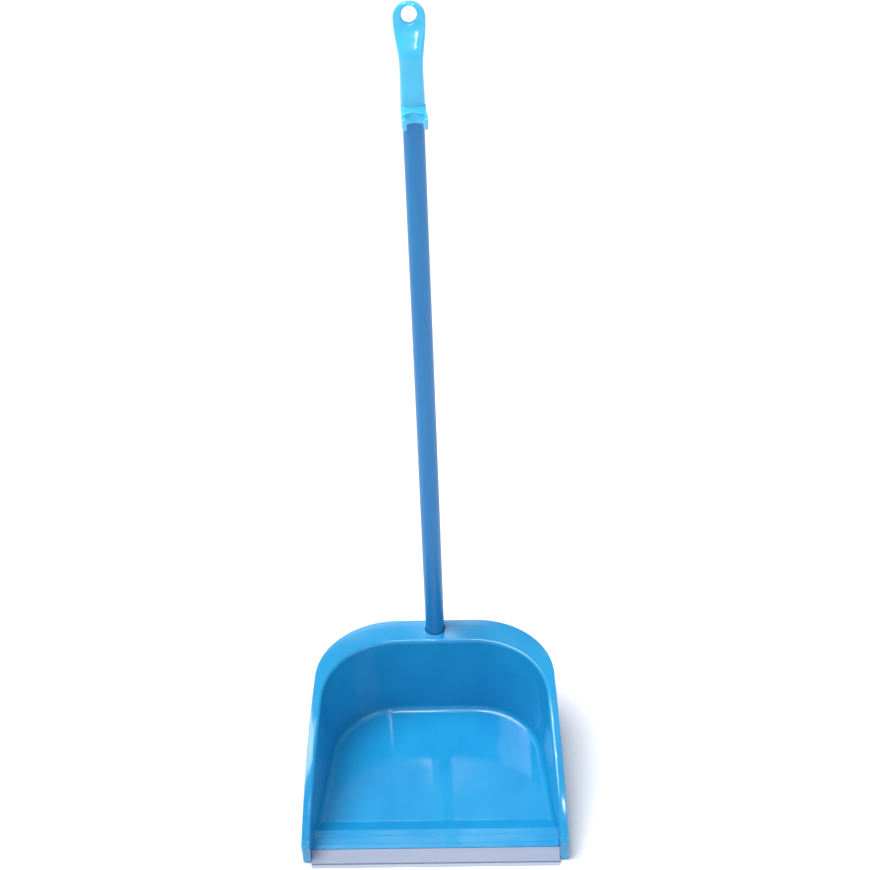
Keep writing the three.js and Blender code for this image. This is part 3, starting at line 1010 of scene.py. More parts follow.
@dataclass
class PanShell:
    """The scoop's skin: floor, walls, rolled rim, ramp, cheeks and front ends."""

    sizes: ScoopSizes
    side_steps: int = 36
    corner_steps: int = 30
    rear_steps: int = 8
    fillet_steps: int = 10
    bend_radius: float = 4.0
    bend_steps: int = 8
    edge_radius: float = 1.2
    edge_steps: int = 4
    end_depth: float = 4.0
    plate_overlap: float = 6.0
    plate_thickness: float = 2.2
    treads: tuple[tuple[float, float], ...] = ((0.27, 0.0), (0.31, 0.4), (0.71, 0.4), (0.75, 0.0))
    cheek_wall: float = 3.2
    cheek_top: float = 24.0
    cheek_back_y: float = -73.25
    cheek_gap: float = 0.2
    settle_rounds: int = 4
    wall_steps: int = 4
    flange_shares: tuple[float, float] = (0.33, 0.67)
    skirt_round: float = 0.4
    skirt_root: float = 0.8
    rim_root: float = 1.0
    foot_round: float = 14.0
    crest_round: float = 1.6
    tread_round: float = 0.3
    seat_round: float = 0.5
    tongue_round: float = 0.4
    plate_sink: float = 0.05
    room_margin: float = 0.5
    room_ahead: float = 20.0
    room_heights: tuple[float, float] = (-5.0, 140.0)
    end_inset: float = 0.25
    end_slack: float = 0.5
    end_round: float = 2.0
    end_round_steps: int = 5
    hole_reach: tuple[float, float] = (-10.0, 30.0)
    crisp: float = 28.0

    def stations(self) -> list[Station]:
        """Give the places round the scoop.

        Returns:
            The stations, from the right front to the left front.
        """
        sides, corners, rears = self.side_steps, self.corner_steps, self.rear_steps
        right = [Station(Zone.SIDE, i / sides, 1) for i in range(sides + 1)]
        right += [Station(Zone.CORNER, i / corners, 1) for i in range(1, corners + 1)]
        right += [Station(Zone.REAR, 1.0 - i / rears, 1) for i in range(1, rears + 1)]
        left = [Station(s.zone, s.share, -1) for s in reversed(right[:-1])]
        return right + left

    def wall_at(self, station: Station, height: float) -> Vector:
        """Find the plan place of the wall's inner face.

        Args:
            station: The place round the scoop.
            height: The height on the wall.

        Returns:
            The point, at height 0.
        """
        s = self.sizes
        share = (height - s.fillet_top) / (s.rim_height - s.fillet_top)
        low = s.floor_line.at(station, s.front_y)
        return low.lerp(s.wall_line.at(station, s.front_y), share)

    def hung(self, place: Vector, drop: float) -> Vector:
        """Return a place set a drop below the rim's top."""
        return Vector((place.x, place.y, self.sizes.rim_top(place.y) - drop))

    def section_at(self, station: Station) -> list[Vector]:
        """Give the skin's section at a station.

        Args:
            station: The place round the scoop.

        Returns:
            Points in mm: up the inside, over the rim, and back down the outside.
        """
        s = self.sizes
        out = station.outward()
        wall = s.thickness
        height = s.rim_height
        for _ in range(self.settle_rounds):
            height = s.rim_top(self.wall_at(station, height).y)
        crown = self.wall_at(station, height)
        low = s.floor_line.at(station, s.front_y)
        high = s.wall_line.at(station, s.front_y)
        draft = math.atan((high - low).dot(out) / (s.rim_height - s.fillet_top))
        rows = self.fillet_rows(station, 0.0, s.floor_top, s.fillet)

        # The inner wall and its bend into the flange.
        bend = self.bend_radius
        bend_start = height - bend * (1.0 - math.sin(draft))
        for step in range(1, self.wall_steps):
            level = mix(s.fillet_top, bend_start, step / self.wall_steps)
            place = self.wall_at(station, level)
            rows.append(Vector((place.x, place.y, level)))
        reach = bend * math.cos(draft) - bend * (1.0 - math.sin(draft)) * math.tan(draft)
        for step in range(self.bend_steps + 1):
            turn = mix(draft, QUARTER_TURN, step / self.bend_steps)
            place = crown + out * (reach - bend * math.cos(turn))
            rows.append(self.hung(place, bend * (1.0 - math.sin(turn))))

        # The flange and its rounded edge.
        edge = self.edge_radius
        inner, outer = crown + out * reach, s.rim_line.at(station, s.front_y, -edge)
        rows += [self.hung(inner.lerp(outer, share), 0.0) for share in self.flange_shares]
        for step in range(self.edge_steps + 1):
            turn = QUARTER_TURN * step / self.edge_steps
            place = s.rim_line.at(station, s.front_y, -edge * (1.0 - math.sin(turn)))
            rows.append(self.hung(place, edge * (1.0 - math.cos(turn))))

        # The skirt, then the outside back down to the floor.
        ease, root = self.skirt_round, self.skirt_root
        skirt = [
            (0.0, s.skirt_drop - ease), (-ease, s.skirt_drop), (ease - s.skirt_wall, s.skirt_drop),
            (-s.skirt_wall, s.skirt_drop - ease), (-s.skirt_wall, wall + root),
            (-s.skirt_wall - root, wall),
        ]
        rows += [self.hung(s.rim_line.at(station, s.front_y, grow), drop) for grow, drop in skirt]
        rows.append(self.hung(crown + out * (wall + self.rim_root), wall))
        rows.append(self.hung(crown + out * wall, wall + self.rim_root))
        level = mix(s.fillet_top, height, 0.5)
        place = self.wall_at(station, level) + out * wall
        rows.append(Vector((place.x, place.y, level)))
        rows += reversed(self.fillet_rows(station, wall, s.floor_top - wall, s.fillet + wall))
        return rows

    def fillet_rows(
        self, station: Station, grow: float, bottom: float, radius: float
    ) -> list[Vector]:
        """Give the round between floor and wall.

        Args:
            station: The place round the scoop.
            grow: How far the wall's line is grown outwards.
            bottom: Height of the floor's face.
            radius: Radius of the round.

        Returns:
            Points in mm from the floor up to the wall.
        """
        s = self.sizes
        rows = []
        for step in range(self.fillet_steps + 1):
            turn = QUARTER_TURN * step / self.fillet_steps
            place = s.floor_line.at(station, s.front_y, grow - radius * (1.0 - math.sin(turn)))
            rows.append(Vector((place.x, place.y, bottom + radius * (1.0 - math.cos(turn)))))
        return rows

    def skin(self) -> Workpiece:
        """Shape a grid into the skin and close it.

        Returns:
            The closed skin.
        """
        columns = [self.section_at(station) for station in self.stations()]
        across, down = len(columns) - 1, len(columns[0]) - 1
        clear_selection()
        bpy.ops.mesh.primitive_grid_add(x_subdivisions=across, y_subdivisions=down, size=1.0)
        made = Workpiece(bpy.context.object, "pan_shell")
        mesh = made.piece.data
        place = {}
        for vertex in mesh.vertices:
            column = round((vertex.co.x + 0.5) * across)
            row = round((vertex.co.y + 0.5) * down)
            place[vertex.index] = (column, row)
            vertex.co = columns[column][row] * MM
        borders = [
            *[{(column, row) for column in range(across + 1)} for row in (0, down)],
            *[{(column, row) for row in range(down + 1)} for column in (0, across)],
            {(column, row) for column in (0, across) for row in (0, down)},
        ]
        bpy.context.tool_settings.mesh_select_mode = (True, False, False)
        for border in borders:
            with made.editing():
                bpy.ops.mesh.select_all(action="DESELECT")
                bpy.ops.object.mode_set(mode="OBJECT")
                for vertex in mesh.vertices:
                    vertex.select = place[vertex.index] in border
                bpy.ops.object.mode_set(mode="EDIT")
                bpy.ops.mesh.edge_face_add()
        made.close()
        return made

    def lip_room(self) -> Workpiece:
        """Give the space in front of the ramp that the lip sits in.

        Returns:
            The space, as a cutter.
        """
        s = self.sizes
        half = s.lip_half + self.room_margin
        back = s.lip_point(s.lip_width + s.lip_gap, s.tongue_top).x
        low, high = self.room_heights
        ahead = s.tip_y - self.room_ahead
        return Workpiece.block("lip_room", (-half, ahead, low), (half, back, high))

    def ramp_room(self) -> Workpiece:
        """Give the hollow under the ramp, which the floor stops short of.

        Returns:
            The hollow, as a cutter.
        """
        s = self.sizes
        half = s.lip_half + self.room_margin
        under = s.crest_height - self.plate_thickness
        low = self.room_heights[0]
        outline = [
            (s.tip_y, low), (s.foot_y, low), (s.foot_y, s.floor_top - self.plate_thickness),
            (s.crest_y, under), (s.tip_y, under),
        ]
        points = [Vector((-half, y, z)) for y, z in outline]
        return Workpiece.drawn("ramp_room", points, (2.0 * half, 0.0, 0.0))

    def ramp(self) -> Workpiece:
        """Give the ramp from the floor to the lip, with the tongue that the lip clips on.

        Returns:
            The ramp's plate, ended inside the side walls.
        """
        s = self.sizes
        seat, nose = s.lip_width + s.lip_gap, s.lip_nose + s.lip_gap
        root, under = s.tongue_top, s.tongue_top + s.tongue
        tongue = [(seat, 0.0), (seat, root), (nose, root), (nose, under),
                  (seat + self.plate_thickness, under)]
        lip = [s.lip_point(along, deep) for along, deep in tongue]
        foot_end = s.foot_y + self.plate_overlap
        crest = Vector((s.crest_y, s.crest_height))
        treads = []
        for share, sink in self.treads:
            place = crest.lerp(lip[0], share)
            treads.append((place.x, place.y - sink))
        foot_under = s.floor_top - self.plate_thickness + self.plate_sink
        corners = [
            (foot_end, s.floor_top - self.plate_sink), (s.foot_y, s.floor_top), (crest.x, crest.y),
            *treads,
            *[(p.x, p.y) for p in lip],
            (s.crest_y, s.crest_height - self.plate_thickness),
            (s.foot_y, foot_under), (foot_end, foot_under),
        ]
        radii = [
            0.0, self.foot_round, self.crest_round, *[self.tread_round] * len(treads),
            self.seat_round, 0.0, self.tongue_round, self.tongue_round, 0.0, 0.0, 0.0, 0.0,
        ]
        half = s.rim_line.front
        points = [Vector((-half, p.x, p.y)) for p in rounded(corners, radii)]
        plate = Workpiece.drawn("ramp", points, (2.0 * half, 0.0, 0.0))
        bury = self.plate_thickness / 2.0
        for hand in (1, -1):
            front = s.floor_line.front + bury
            corner_y = s.floor_line.back - s.floor_line.corner
            slant = Vector((corner_y - s.front_y, s.floor_line.front - s.floor_line.side, 0.0))
            plate.trim((hand * front, s.front_y, 0.0), (hand * slant.x, slant.y, 0.0))
        return plate

    def cheek(self, hand: int) -> Workpiece:
        """Give the upright foot of a side wall beside the ramp.

        Args:
            hand: 1 on the right, -1 on the left.

        Returns:
            The cheek.
        """
        s = self.sizes
        start = s.front_y + s.thickness / 2.0
        inside = s.lip_gap + self.cheek_gap
        outline = []
        for y, grow in (
            (start, inside), (self.cheek_back_y, inside),
            (self.cheek_back_y, self.cheek_wall), (start, self.cheek_wall),
        ):
            x = s.floor_line.half_at(y, s.front_y) + grow
            outline.append(Vector((hand * x, y, s.cheek_bottom)))
        return Workpiece.drawn("cheek", outline, (0.0, 0.0, self.cheek_top - s.cheek_bottom))

    def front_end(self, hand: int) -> Workpiece:
        """Give the closed front end of a side wall, where the rim turns down.

        Args:
            hand: 1 on the right, -1 on the left.

        Returns:
            The end plate.
        """
        s = self.sizes
        inner, outer = s.floor_line.front + self.end_inset, s.rim_line.front
        back = s.front_y + self.end_depth
        taper = s.rim_line.half_at(back, s.front_y) - outer
        corners = [(inner, s.front_y), (outer, s.front_y), (outer + taper, back), (inner, back)]
        points = [Vector((hand * x, y, s.cheek_bottom)) for x, y in corners]
        made = Workpiece.drawn("front_end", points, (0.0, 0.0, s.front_height - s.cheek_bottom))
        top = s.front_height - self.end_slack
        for vertex in made.piece.data.vertices:
            if vertex.co.z > top * MM:
                vertex.co.z = s.rim_top(vertex.co.y / MM) * MM

        def outer_edge(a: Vector, b: Vector) -> bool:
            """Say whether an edge is the outer upright or runs along the outer top.

            Args:
                a: One end of the edge, in mm.
                b: Its other end.

            Returns:
                Whether it is one of them.
            """
            outside = min(abs(a.x), abs(b.x))
            upright = outside > outer - NEAR and max(a.y, b.y) < s.front_y + NEAR
            return upright or (min(a.z, b.z) > top and outside > outer - self.end_slack)

        def front_top(a: Vector, b: Vector) -> bool:
            """Say whether an edge is the upper one of the front face."""
            return min(a.z, b.z) > top and max(a.y, b.y) < s.front_y + NEAR

        made.soften(outer_edge, self.edge_radius, self.edge_steps)
        made.soften(front_top, self.end_round, self.end_round_steps)
        return made

    def hole(self) -> Workpiece:
        """Give the cutter for the rim's hole."""
        s = self.sizes
        return Workpiece.rod("rim_hole", s.hole_radius, *self.hole_reach).carry(s.handle)

    def build(self, palette: Palette) -> None:
        """Build the shell, dress it and let it ride on the pan.

        Args:
            palette: The finishes.
        """
        shell = self.skin()
        shell.work(self.lip_room(), Solid.CUT)
        shell.work(self.ramp_room(), Solid.CUT)
        for hand in (1, -1):
            shell.work(self.cheek(hand), Solid.JOIN)
            shell.work(self.front_end(hand), Solid.JOIN)
        shell.work(self.ramp(), Solid.JOIN)
        shell.work(self.hole(), Solid.CUT)
        shell.close()
        shell.finish(self.crisp, palette.get(palette.scoop_gloss))
        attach(shell.piece, "pan")
        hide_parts("pan")


@dataclass
class PanUnderside:
    """What stands under the skin: foot ribs, pad, handle socket, webs and gussets."""

    sizes: ScoopSizes
    rib: float = 2.0
    ring_inset: float = 9.0
    ring_front: float = -117.75
    side_ribs: tuple[float, ...] = (-84.0, -42.0, 42.0, 84.0)
    cross_ribs: tuple[float, ...] = (-54.25, 50.75)
    pad_radius: float = 14.0
    gussets: tuple[float, ...] = (-69.25, -24.25, 20.75)
    gusset_drop: float = 16.0
    webs: tuple[float, ...] = (-7.0, 7.0)
    socket_wall: float = 2.2
    socket_depth: float = 106.3
    mouth_depth: float = 6.0
    corner_steps: int = 16
    edge: float = 0.35
    edge_steps: int = 2
    pad_edge: float = 0.8
    pad_edge_steps: int = 3
    pad_sides: int = 64
    cut_margin: float = 1.0
    tower_reach: tuple[float, float] = (30.0, 20.0)
    bore_top: float = 30.0
    web_bottom: float = 0.4
    web_sink: float = 1.0
    gusset_sink: float = 0.8
    gusset_lift: float = 1.0
    crisp: float = 28.0

    def ring_outline(self, inset: float, start_y: float, height: float) -> list[Vector]:
        """Give the foot ring's outline.

        Args:
            inset: How far inside the floor's line it runs.
            start_y: Where it starts at the front.
            height: Height of the outline.

        Returns:
            The outline's corners in mm.
        """
        s = self.sizes
        line = s.floor_line
        right = [Vector((line.half_at(start_y, s.front_y) - inset, start_y, height))]
        for step in range(self.corner_steps + 1):
            place = line.at(Station(Zone.CORNER, step / self.corner_steps, 1), s.front_y, -inset)
            right.append(Vector((place.x, place.y, height)))
        return right + [Vector((-p.x, p.y, p.z)) for p in reversed(right)]

    def feet(self) -> Workpiece:
        """Build the ring, the ribs across it and the pad in the middle.

        Returns:
            All of them as one solid.
        """
        s = self.sizes
        top = s.floor_top - s.thickness / 2.0
        half = self.rib / 2.0
        outer = self.ring_outline(self.ring_inset, self.ring_front, 0.0)
        ring = Workpiece.drawn("pan_ribs", outer, (0.0, 0.0, top))
        ring.soften(on_ground, self.edge, self.edge_steps)
        margin = self.cut_margin
        inner = self.ring_outline(self.ring_inset + self.rib, self.ring_front + self.rib, -margin)
        inside = Workpiece.drawn("ring_inside", inner, (0.0, 0.0, top + 2.0 * margin))
        ring.work(inside, Solid.CUT)
        inset = self.ring_inset + half
        spans = []
        for x in self.side_ribs:
            back = self.rear_reach(abs(x), inset)
            spans.append(((x - half, self.ring_front + half, 0.0), (x + half, back, top)))
        for y in self.cross_ribs:
            reach = self.side_reach(y, inset)
            spans.append(((-reach, y - half, 0.0), (reach, y + half, top)))
        for low, high in spans:
            rib = Workpiece.block("rib", low, high)
            rib.soften(on_ground, self.edge, self.edge_steps)
            ring.work(rib, Solid.JOIN)
        pad = Workpiece.rod("pad", self.pad_radius, 0.0, top, self.pad_sides)
        pad.soften(on_ground, self.pad_edge, self.pad_edge_steps)
        return ring.work(pad, Solid.JOIN)

    def rear_reach(self, x: float, inset: float) -> float:
        """Find how far back the inset floor line reaches.

        Args:
            x: The half-width at which it is asked for.
            inset: How far the line is set in.

        Returns:
            The depth of the line there.
        """
        line = self.sizes.floor_line
        off = x - (line.side - line.corner)
        radius = line.corner - inset
        if off <= 0.0:
            return line.back - inset
        return line.back - line.corner + math.sqrt(radius**2 - off**2)

    def side_reach(self, y: float, inset: float) -> float:
        """Find how far out the inset floor line reaches.

        Args:
            y: The depth at which it is asked for.
            inset: How far the line is set in.

        Returns:
            The half-width of the line there.
        """
        s = self.sizes
        line = s.floor_line
        off = y - (line.back - line.corner)
        if off <= 0.0:
            return line.half_at(y, s.front_y) - inset
        return line.side - line.corner + math.sqrt((line.corner - inset) ** 2 - off**2)

    def socket(self) -> Workpiece:
        """Build the leaning socket with its webs, bored for the tube.

        Returns:
            The socket.
        """
        s = self.sizes
        top = s.rim_height - s.thickness / 2.0
        outer = s.bore + self.socket_wall
        below, above = self.tower_reach
        tower = Workpiece.rod("pan_socket", outer, -self.socket_depth - below, above)
        tower.carry(s.handle)
        half = self.rib / 2.0
        wall = s.thickness / 2.0
        low, high = self.web_bottom, top - self.web_sink
        outline = [
            (s.floor_line.back + wall, low), (s.hole_y, low), (s.hole_y, high),
            (s.wall_line.back + wall, high), (s.floor_line.back + wall, s.fillet_top),
        ]
        for x in self.webs:
            points = [Vector((x - half, y, z)) for y, z in outline]
            tower.work(Workpiece.drawn("web", points, (self.rib, 0.0, 0.0)), Solid.JOIN)
        tower.trim((0.0, 0.0, 0.0), (0.0, 0.0, -1.0))
        tower.trim((0.0, 0.0, top), (0.0, 0.0, 1.0))
        tower.soften(on_ground, self.edge, self.edge_steps)
        for radius, depth in ((s.bore, self.socket_depth), (s.hole_radius, self.mouth_depth)):
            bore = Workpiece.rod("bore", radius, -depth, self.bore_top).carry(s.handle)
            tower.work(bore, Solid.CUT)
        return tower

    def gusset(self, y: float, hand: int) -> Workpiece:
        """Build one gusset between a side wall and the rim.

        Args:
            y: Its depth.
            hand: 1 on the right, -1 on the left.

        Returns:
            The gusset.
        """
        s = self.sizes
        top = s.rim_top(y)
        share = (top - s.fillet_top) / (s.rim_height - s.fillet_top)
        inner = mix(s.floor_line.half_at(y, s.front_y), s.wall_line.half_at(y, s.front_y), share)
        inner += s.thickness / 2.0
        outer = s.rim_line.half_at(y, s.front_y) - s.skirt_wall / 2.0
        sink = self.gusset_sink
        outline = [
            (inner, top - 2.0 * sink), (outer, top - 2.0 * sink),
            (outer, top - s.skirt_drop + self.gusset_lift), (inner - sink, top - self.gusset_drop),
        ]
        points = [Vector((hand * x, y - self.rib / 2.0, z)) for x, z in outline]
        return Workpiece.drawn("gusset", points, (0.0, self.rib, 0.0))

    def build(self, palette: Palette) -> None:
        """Build the underside, dress it and let it ride on the pan.

        Args:
            palette: The finishes.
        """
        dress = palette.get(palette.scoop_gloss)
        made = self.feet()
        made.work(self.socket(), Solid.JOIN)
        for y in self.gussets:
            for hand in (1, -1):
                made.work(self.gusset(y, hand), Solid.JOIN)
        made.close()
        made.finish(self.crisp, dress)
        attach(made.piece, "pan")
        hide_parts("pan")


@dataclass
class Lip:
    """The stiff grey strip on the tongue and the soft wiper blade in its slot."""

    sizes: ScoopSizes
    lower_leg: float = 1.0
    lower_length: float = 8.0
    bead_radius: float = 1.2
    bead_gap: float = 0.25
    bead_along: float = 3.8
    blade: float = 1.0
    blade_tip: float = 0.5
    tip_height: float = 0.4
    tip_taper: float = 0.5
    tip_ease: float = 0.15
    strip_rounds: tuple[float, ...] = (0.3, 0.8, 0.45, 0.0, 0.25, 0.25, 0.2, 0.4, 0.4, 0.0)
    round_steps: int = 4
    seat_steps: int = 24
    bead_steps: int = 16
    strip_crisp: float = 30.0
    flap_crisp: float = 40.0

    @property
    def slot_bottom(self) -> float:
        """Depth of the slot's lower face under the lip's top."""
        return self.sizes.tongue_top + self.sizes.tongue + self.sizes.lip_gap

    def drawn_strip(self, name: str, outline: Sequence[Vector]) -> Workpiece:
        """Draw a section out to the lip's length.

        Args:
            name: Name of the strip.
            outline: The section's Y and Z, in mm.

        Returns:
            The strip.
        """
        half = self.sizes.lip_half
        points = [Vector((-half, p.x, p.y)) for p in outline]
        return Workpiece.drawn(name, points, (2.0 * half, 0.0, 0.0))

    @property
    def bead_deep(self) -> float:
        """Depth of the bead's middle under the lip's top."""
        return (self.sizes.lip_leg + self.slot_bottom) / 2.0

    def channel(self) -> Workpiece:
        """Build the stiff strip, with the wiper's slot in its nose.

        Returns:
            The strip.
        """
        s = self.sizes
        leg, nose, width = s.lip_leg, s.lip_nose, s.lip_width
        low = self.slot_bottom
        under = low + self.lower_leg
        front = self.bead_along - self.bead_radius
        back = nose + self.lower_length
        jaw = low - self.bead_gap
        corners = [
            (0.0, leg), (0.0, 0.0), (width, 0.0), (width, leg), (nose, leg), (nose, low),
            (back, low), (back, under), (front, under), (front, jaw),
        ]
        points = [tuple(s.lip_point(*corner)) for corner in corners]
        outline = rounded(points, self.strip_rounds, self.round_steps) + self.seat(jaw)
        return self.drawn_strip("lip_strip", outline)

    def seat(self, jaw: float) -> list[Vector]:
        """Give the round seat of the wiper's bead in the strip's nose.

        Args:
            jaw: Depth of the lower jaw's face under the lip's top.

        Returns:
            Points from the lower jaw round the back to the upper leg.
        """
        radius = self.bead_radius + self.bead_gap
        middle = self.bead_deep
        first = math.pi - math.asin((jaw - middle) / radius)
        last = -math.pi + math.asin((middle - self.sizes.lip_leg) / radius)
        points = []
        for step in range(self.seat_steps + 1):
            turn = mix(first, last, step / self.seat_steps)
            along = self.bead_along + radius * math.cos(turn)
            points.append(self.sizes.lip_point(along, middle + radius * math.sin(turn)))
        return points

    def wiper(self) -> Workpiece:
        """Build the soft blade: a bead and a flap with a rounded tip.

        Returns:
            The blade.
        """
        centre = self.sizes.lip_point(self.bead_along, self.bead_deep)
        tip = Vector((self.sizes.tip_y, self.tip_height))
        run = (tip - centre).normalized()
        across = Vector((-run.y, run.x))
        outline: list[Vector] = []
        swing = math.asin(self.blade / 2.0 / self.bead_radius)
        for step in range(self.bead_steps + 1):
            turn = mix(swing, FULL_TURN - swing, step / self.bead_steps)
            spoke = run * math.cos(turn) + across * math.sin(turn)
            outline.append(centre + spoke * self.bead_radius)
        end = self.blade_tip / 2.0
        taper, ease = end * self.tip_taper, end * self.tip_ease
        for side, back in ((-end, end), (-taper, ease), (taper, ease), (end, end)):
            outline.append(tip - run * back + across * side)
        return self.drawn_strip("wiper_flap", outline)

    def build(self, palette: Palette) -> None:
        """Build both strips, dress them and let them ride.

        Args:
            palette: The finishes.
        """
        strip = self.channel()
        strip.finish(self.strip_crisp, palette.get(palette.lip_vinyl))
        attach(strip.piece, "pan")
        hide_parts("lip_channel")
        flap = self.wiper()
        flap.finish(self.flap_crisp, palette.get(palette.wiper_vinyl))
        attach(flap.piece, "wiper")
        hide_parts("wiper_blade")


# ------------------------------------------------------------------ the handle


@dataclass
class Handle:
    """The sleeved steel tube with its end plug."""

    sizes: ScoopSizes
    sleeve_wall: float = 0.4
    insert: float = 103.5
    end_gap: float = 0.3
    edge: float = 0.15
    edge_steps: int = 2
    core_reach: tuple[float, float] = (-200.0, 900.0)
    crisp: float = 40.0

    def sleeve(self) -> Workpiece:
        """Build the plastic skin of the tube.

        Returns:
            The skin, standing in the rim's hole.
        """
        s = self.sizes
        top = s.shown + s.grip_socket - self.end_gap
        made = Workpiece.rod("handle_sleeve", s.tube_radius, -self.insert, top)
        core = Workpiece.rod("core", s.tube_radius - self.sleeve_wall, *self.core_reach)
        made.work(core, Solid.CUT)

        def outer_end(a: Vector, b: Vector) -> bool:
            """Say whether an edge runs round an end of the skin's outside."""
            return abs(a.z - b.z) < NEAR and a.xy.length > s.tube_radius - NEAR

        made.soften(outer_end, self.edge, self.edge_steps)
        return made.carry(s.handle)

    def build(self, palette: Palette) -> None:
        """Build the sleeve, dress the tube and the plug, and let them ride.

        Args:
            palette: The finishes.
        """
        sleeve = self.sleeve()
        sleeve.close()
        sleeve.finish(self.crisp, palette.get(palette.sleeve_satin))
        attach(sleeve.piece, "handle")
        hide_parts("tube_sleeve")
        dressed = {"steel_tube": palette.bare_steel, "tube_end_plug": palette.plug_dark}
        for node, finish in dressed.items():
            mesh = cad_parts[node].data
            mesh.materials.clear()
            mesh.materials.append(palette.get(finish))
            LOG.info("%s: %d faces kept", node, len(mesh.polygons))


@dataclass
class Grip:
    """The grip: a socket over the tube, a neck, a holed paddle and an open broom clip."""

    sizes: ScoopSizes
    turn: float = math.radians(5.0)
    length: float = 115.5
    half_width: float = 12.6
    half_depth: float = 13.0
    neck_height: float = 51.0
    neck_half: float = 11.8
    paddle_radius: float = 16.0
    paddle_half: float = 4.0
    paddle_back: float = 2.0
    blade_start: float = 88.0
    front_run: float = 96.9
    hang_radius: float = 7.6
    hang_drop: float = 12.0
    hang_stretch: float = 1.1
    hang_sides: int = 64
    hang_flares: tuple[tuple[float, float], ...] = (
        (14.0, 3.4), (4.6, 2.4), (4.0, 1.5), (3.3, 0.65), (2.5, 0.15), (1.6, 0.0),
    )
    clip_bore: float = 10.0
    clip_wall: float = 3.2
    clip_height: float = 11.4
    clip_standoff: float = 4.0
    clip_mouth: float = 8.8
    tip_radius: float = 2.0
    fullness: float = 3.8
    corners: int = 88
    foot_rounds: tuple[tuple[float, float], ...] = ((0.0, 0.9), (0.26, 0.26))
    socket_levels: tuple[float, ...] = (0.9, 6.0, 14.0, 22.0, 30.0, 38.0, 46.0, 54.0)
    blade_step: float = 2.5
    blade_levels: int = 15
    crown_levels: int = 14
    crown_limit: float = 0.9999
    crown_fullness: int = 6
    arm_round: float = 0.7
    arm_round_steps: int = 3
    arm_steps: int = 56
    mouth_ease: float = 0.6
    tip_rim: float = 0.6
    tip_inset: float = 0.1
    tip_sides: int = 28
    shoulder_inset: float = 0.2
    shoulder_ease: float = 0.6
    bore_ease: float = 0.4
    bore_sides: int = 64
    bore_start: float = -5.0
    shoulder_bore_top: float = 40.0
    crisp: float = 32.0

    def level(self, height: float) -> Level:
        """Give the grip's half-sizes at a height.

        Args:
            height: Height above the grip's lower end.

        Returns:
            The level.
        """
        paddle_z = self.length - self.paddle_radius
        if height <= self.neck_height:
            half = mix(self.half_width, self.neck_half, eased(height / self.neck_height))
        else:
            share = (height - self.neck_height) / (paddle_z - self.neck_height)
            half = mix(self.neck_half, self.paddle_radius, eased(share))
        start = self.sizes.grip_socket
        rear = mix(self.half_depth, self.paddle_back + self.paddle_half,
                   eased((height - start) / (self.blade_start - start)))
        front = mix(-self.half_depth, self.paddle_back - self.paddle_half,
                    eased((height - start) / (self.front_run - start)))
        depth = (rear - front) / 2.0
        if height > paddle_z:
            share = min((height - paddle_z) / self.paddle_radius, self.crown_limit)
            half = self.paddle_radius * math.sqrt(1.0 - share**2)
            depth *= math.sqrt(1.0 - share**self.crown_fullness)
        return Level(height, half, depth, (rear + front) / 2.0)

    def body(self) -> Workpiece:
        """Build the grip's body level by level.

        Returns:
            The body, without its holes.
        """
        start = self.sizes.grip_socket
        heights = list(self.socket_levels)
        heights += [start + self.blade_step * i for i in range(self.blade_levels)]
        paddle_z = self.length - self.paddle_radius
        for step in range(1, self.crown_levels + 1):
            turn = QUARTER_TURN * step / self.crown_levels
            heights.append(paddle_z + self.paddle_radius * math.sin(turn))
        foot = self.level(0.0)
        levels = [
            Level(z, foot.half_x - inset, foot.half_y - inset) for z, inset in self.foot_rounds
        ]
        levels += [self.level(z) for z in heights]
        return Workpiece.stacked("grip_body", section(self.corners, self.fullness), levels)

    def hang_cutter(self) -> Workpiece:
        """Build the spool that cuts the hanging hole and rounds its edges.

        Returns:
            The cutter.
        """
        steps = [(-z, flare) for z, flare in self.hang_flares]
        steps += [(z, flare) for z, flare in reversed(self.hang_flares)]
        tall = self.hang_radius * self.hang_stretch
        levels = [Level(z, self.hang_radius + flare, tall + flare) for z, flare in steps]
        spool = Workpiece.stacked("hang_spool", section(self.hang_sides, 2.0), levels)
        drop = self.hang_drop + self.hang_radius * (self.hang_stretch - 1.0)
        place = Vector((0.0, self.paddle_back, self.length - drop)) * MM
        return spool.carry(Matrix.Translation(place) @ Matrix.Rotation(QUARTER_TURN, 4, "X"))

    def clip_centre(self) -> float:
        """Return how far in front of the handle the clip's middle is."""
        return -(self.half_depth + self.clip_standoff + self.clip_bore)

    def clip(self) -> Workpiece:
        """Build the clip's arms: a ring spun open at the front.

        Returns:
            The open ring.
        """
        inner, outer = self.clip_bore, self.clip_bore + self.clip_wall
        centre = self.clip_centre()
        top = self.clip_height
        corners = [(inner, 0.0), (outer, 0.0), (outer, top), (inner, top)]
        outline = rounded(corners, [self.arm_round] * len(corners), self.arm_round_steps)
        open_half = math.asin(self.clip_mouth / (inner + self.mouth_ease))
        start = -QUARTER_TURN - open_half
        points = [Vector((p.x * math.cos(start), p.x * math.sin(start), p.y)) for p in outline]
        ring = Workpiece.face("clip", points)
        with ring.editing():
            bpy.ops.mesh.spin(
                steps=self.arm_steps,
                angle=FULL_TURN - 2.0 * open_half,
                center=(0.0, 0.0, 0.0),
                axis=(0.0, 0.0, 1.0),
            )
        ring.close()
        ring.carry(Matrix.Translation(Vector((0.0, centre, 0.0)) * MM))
        return ring

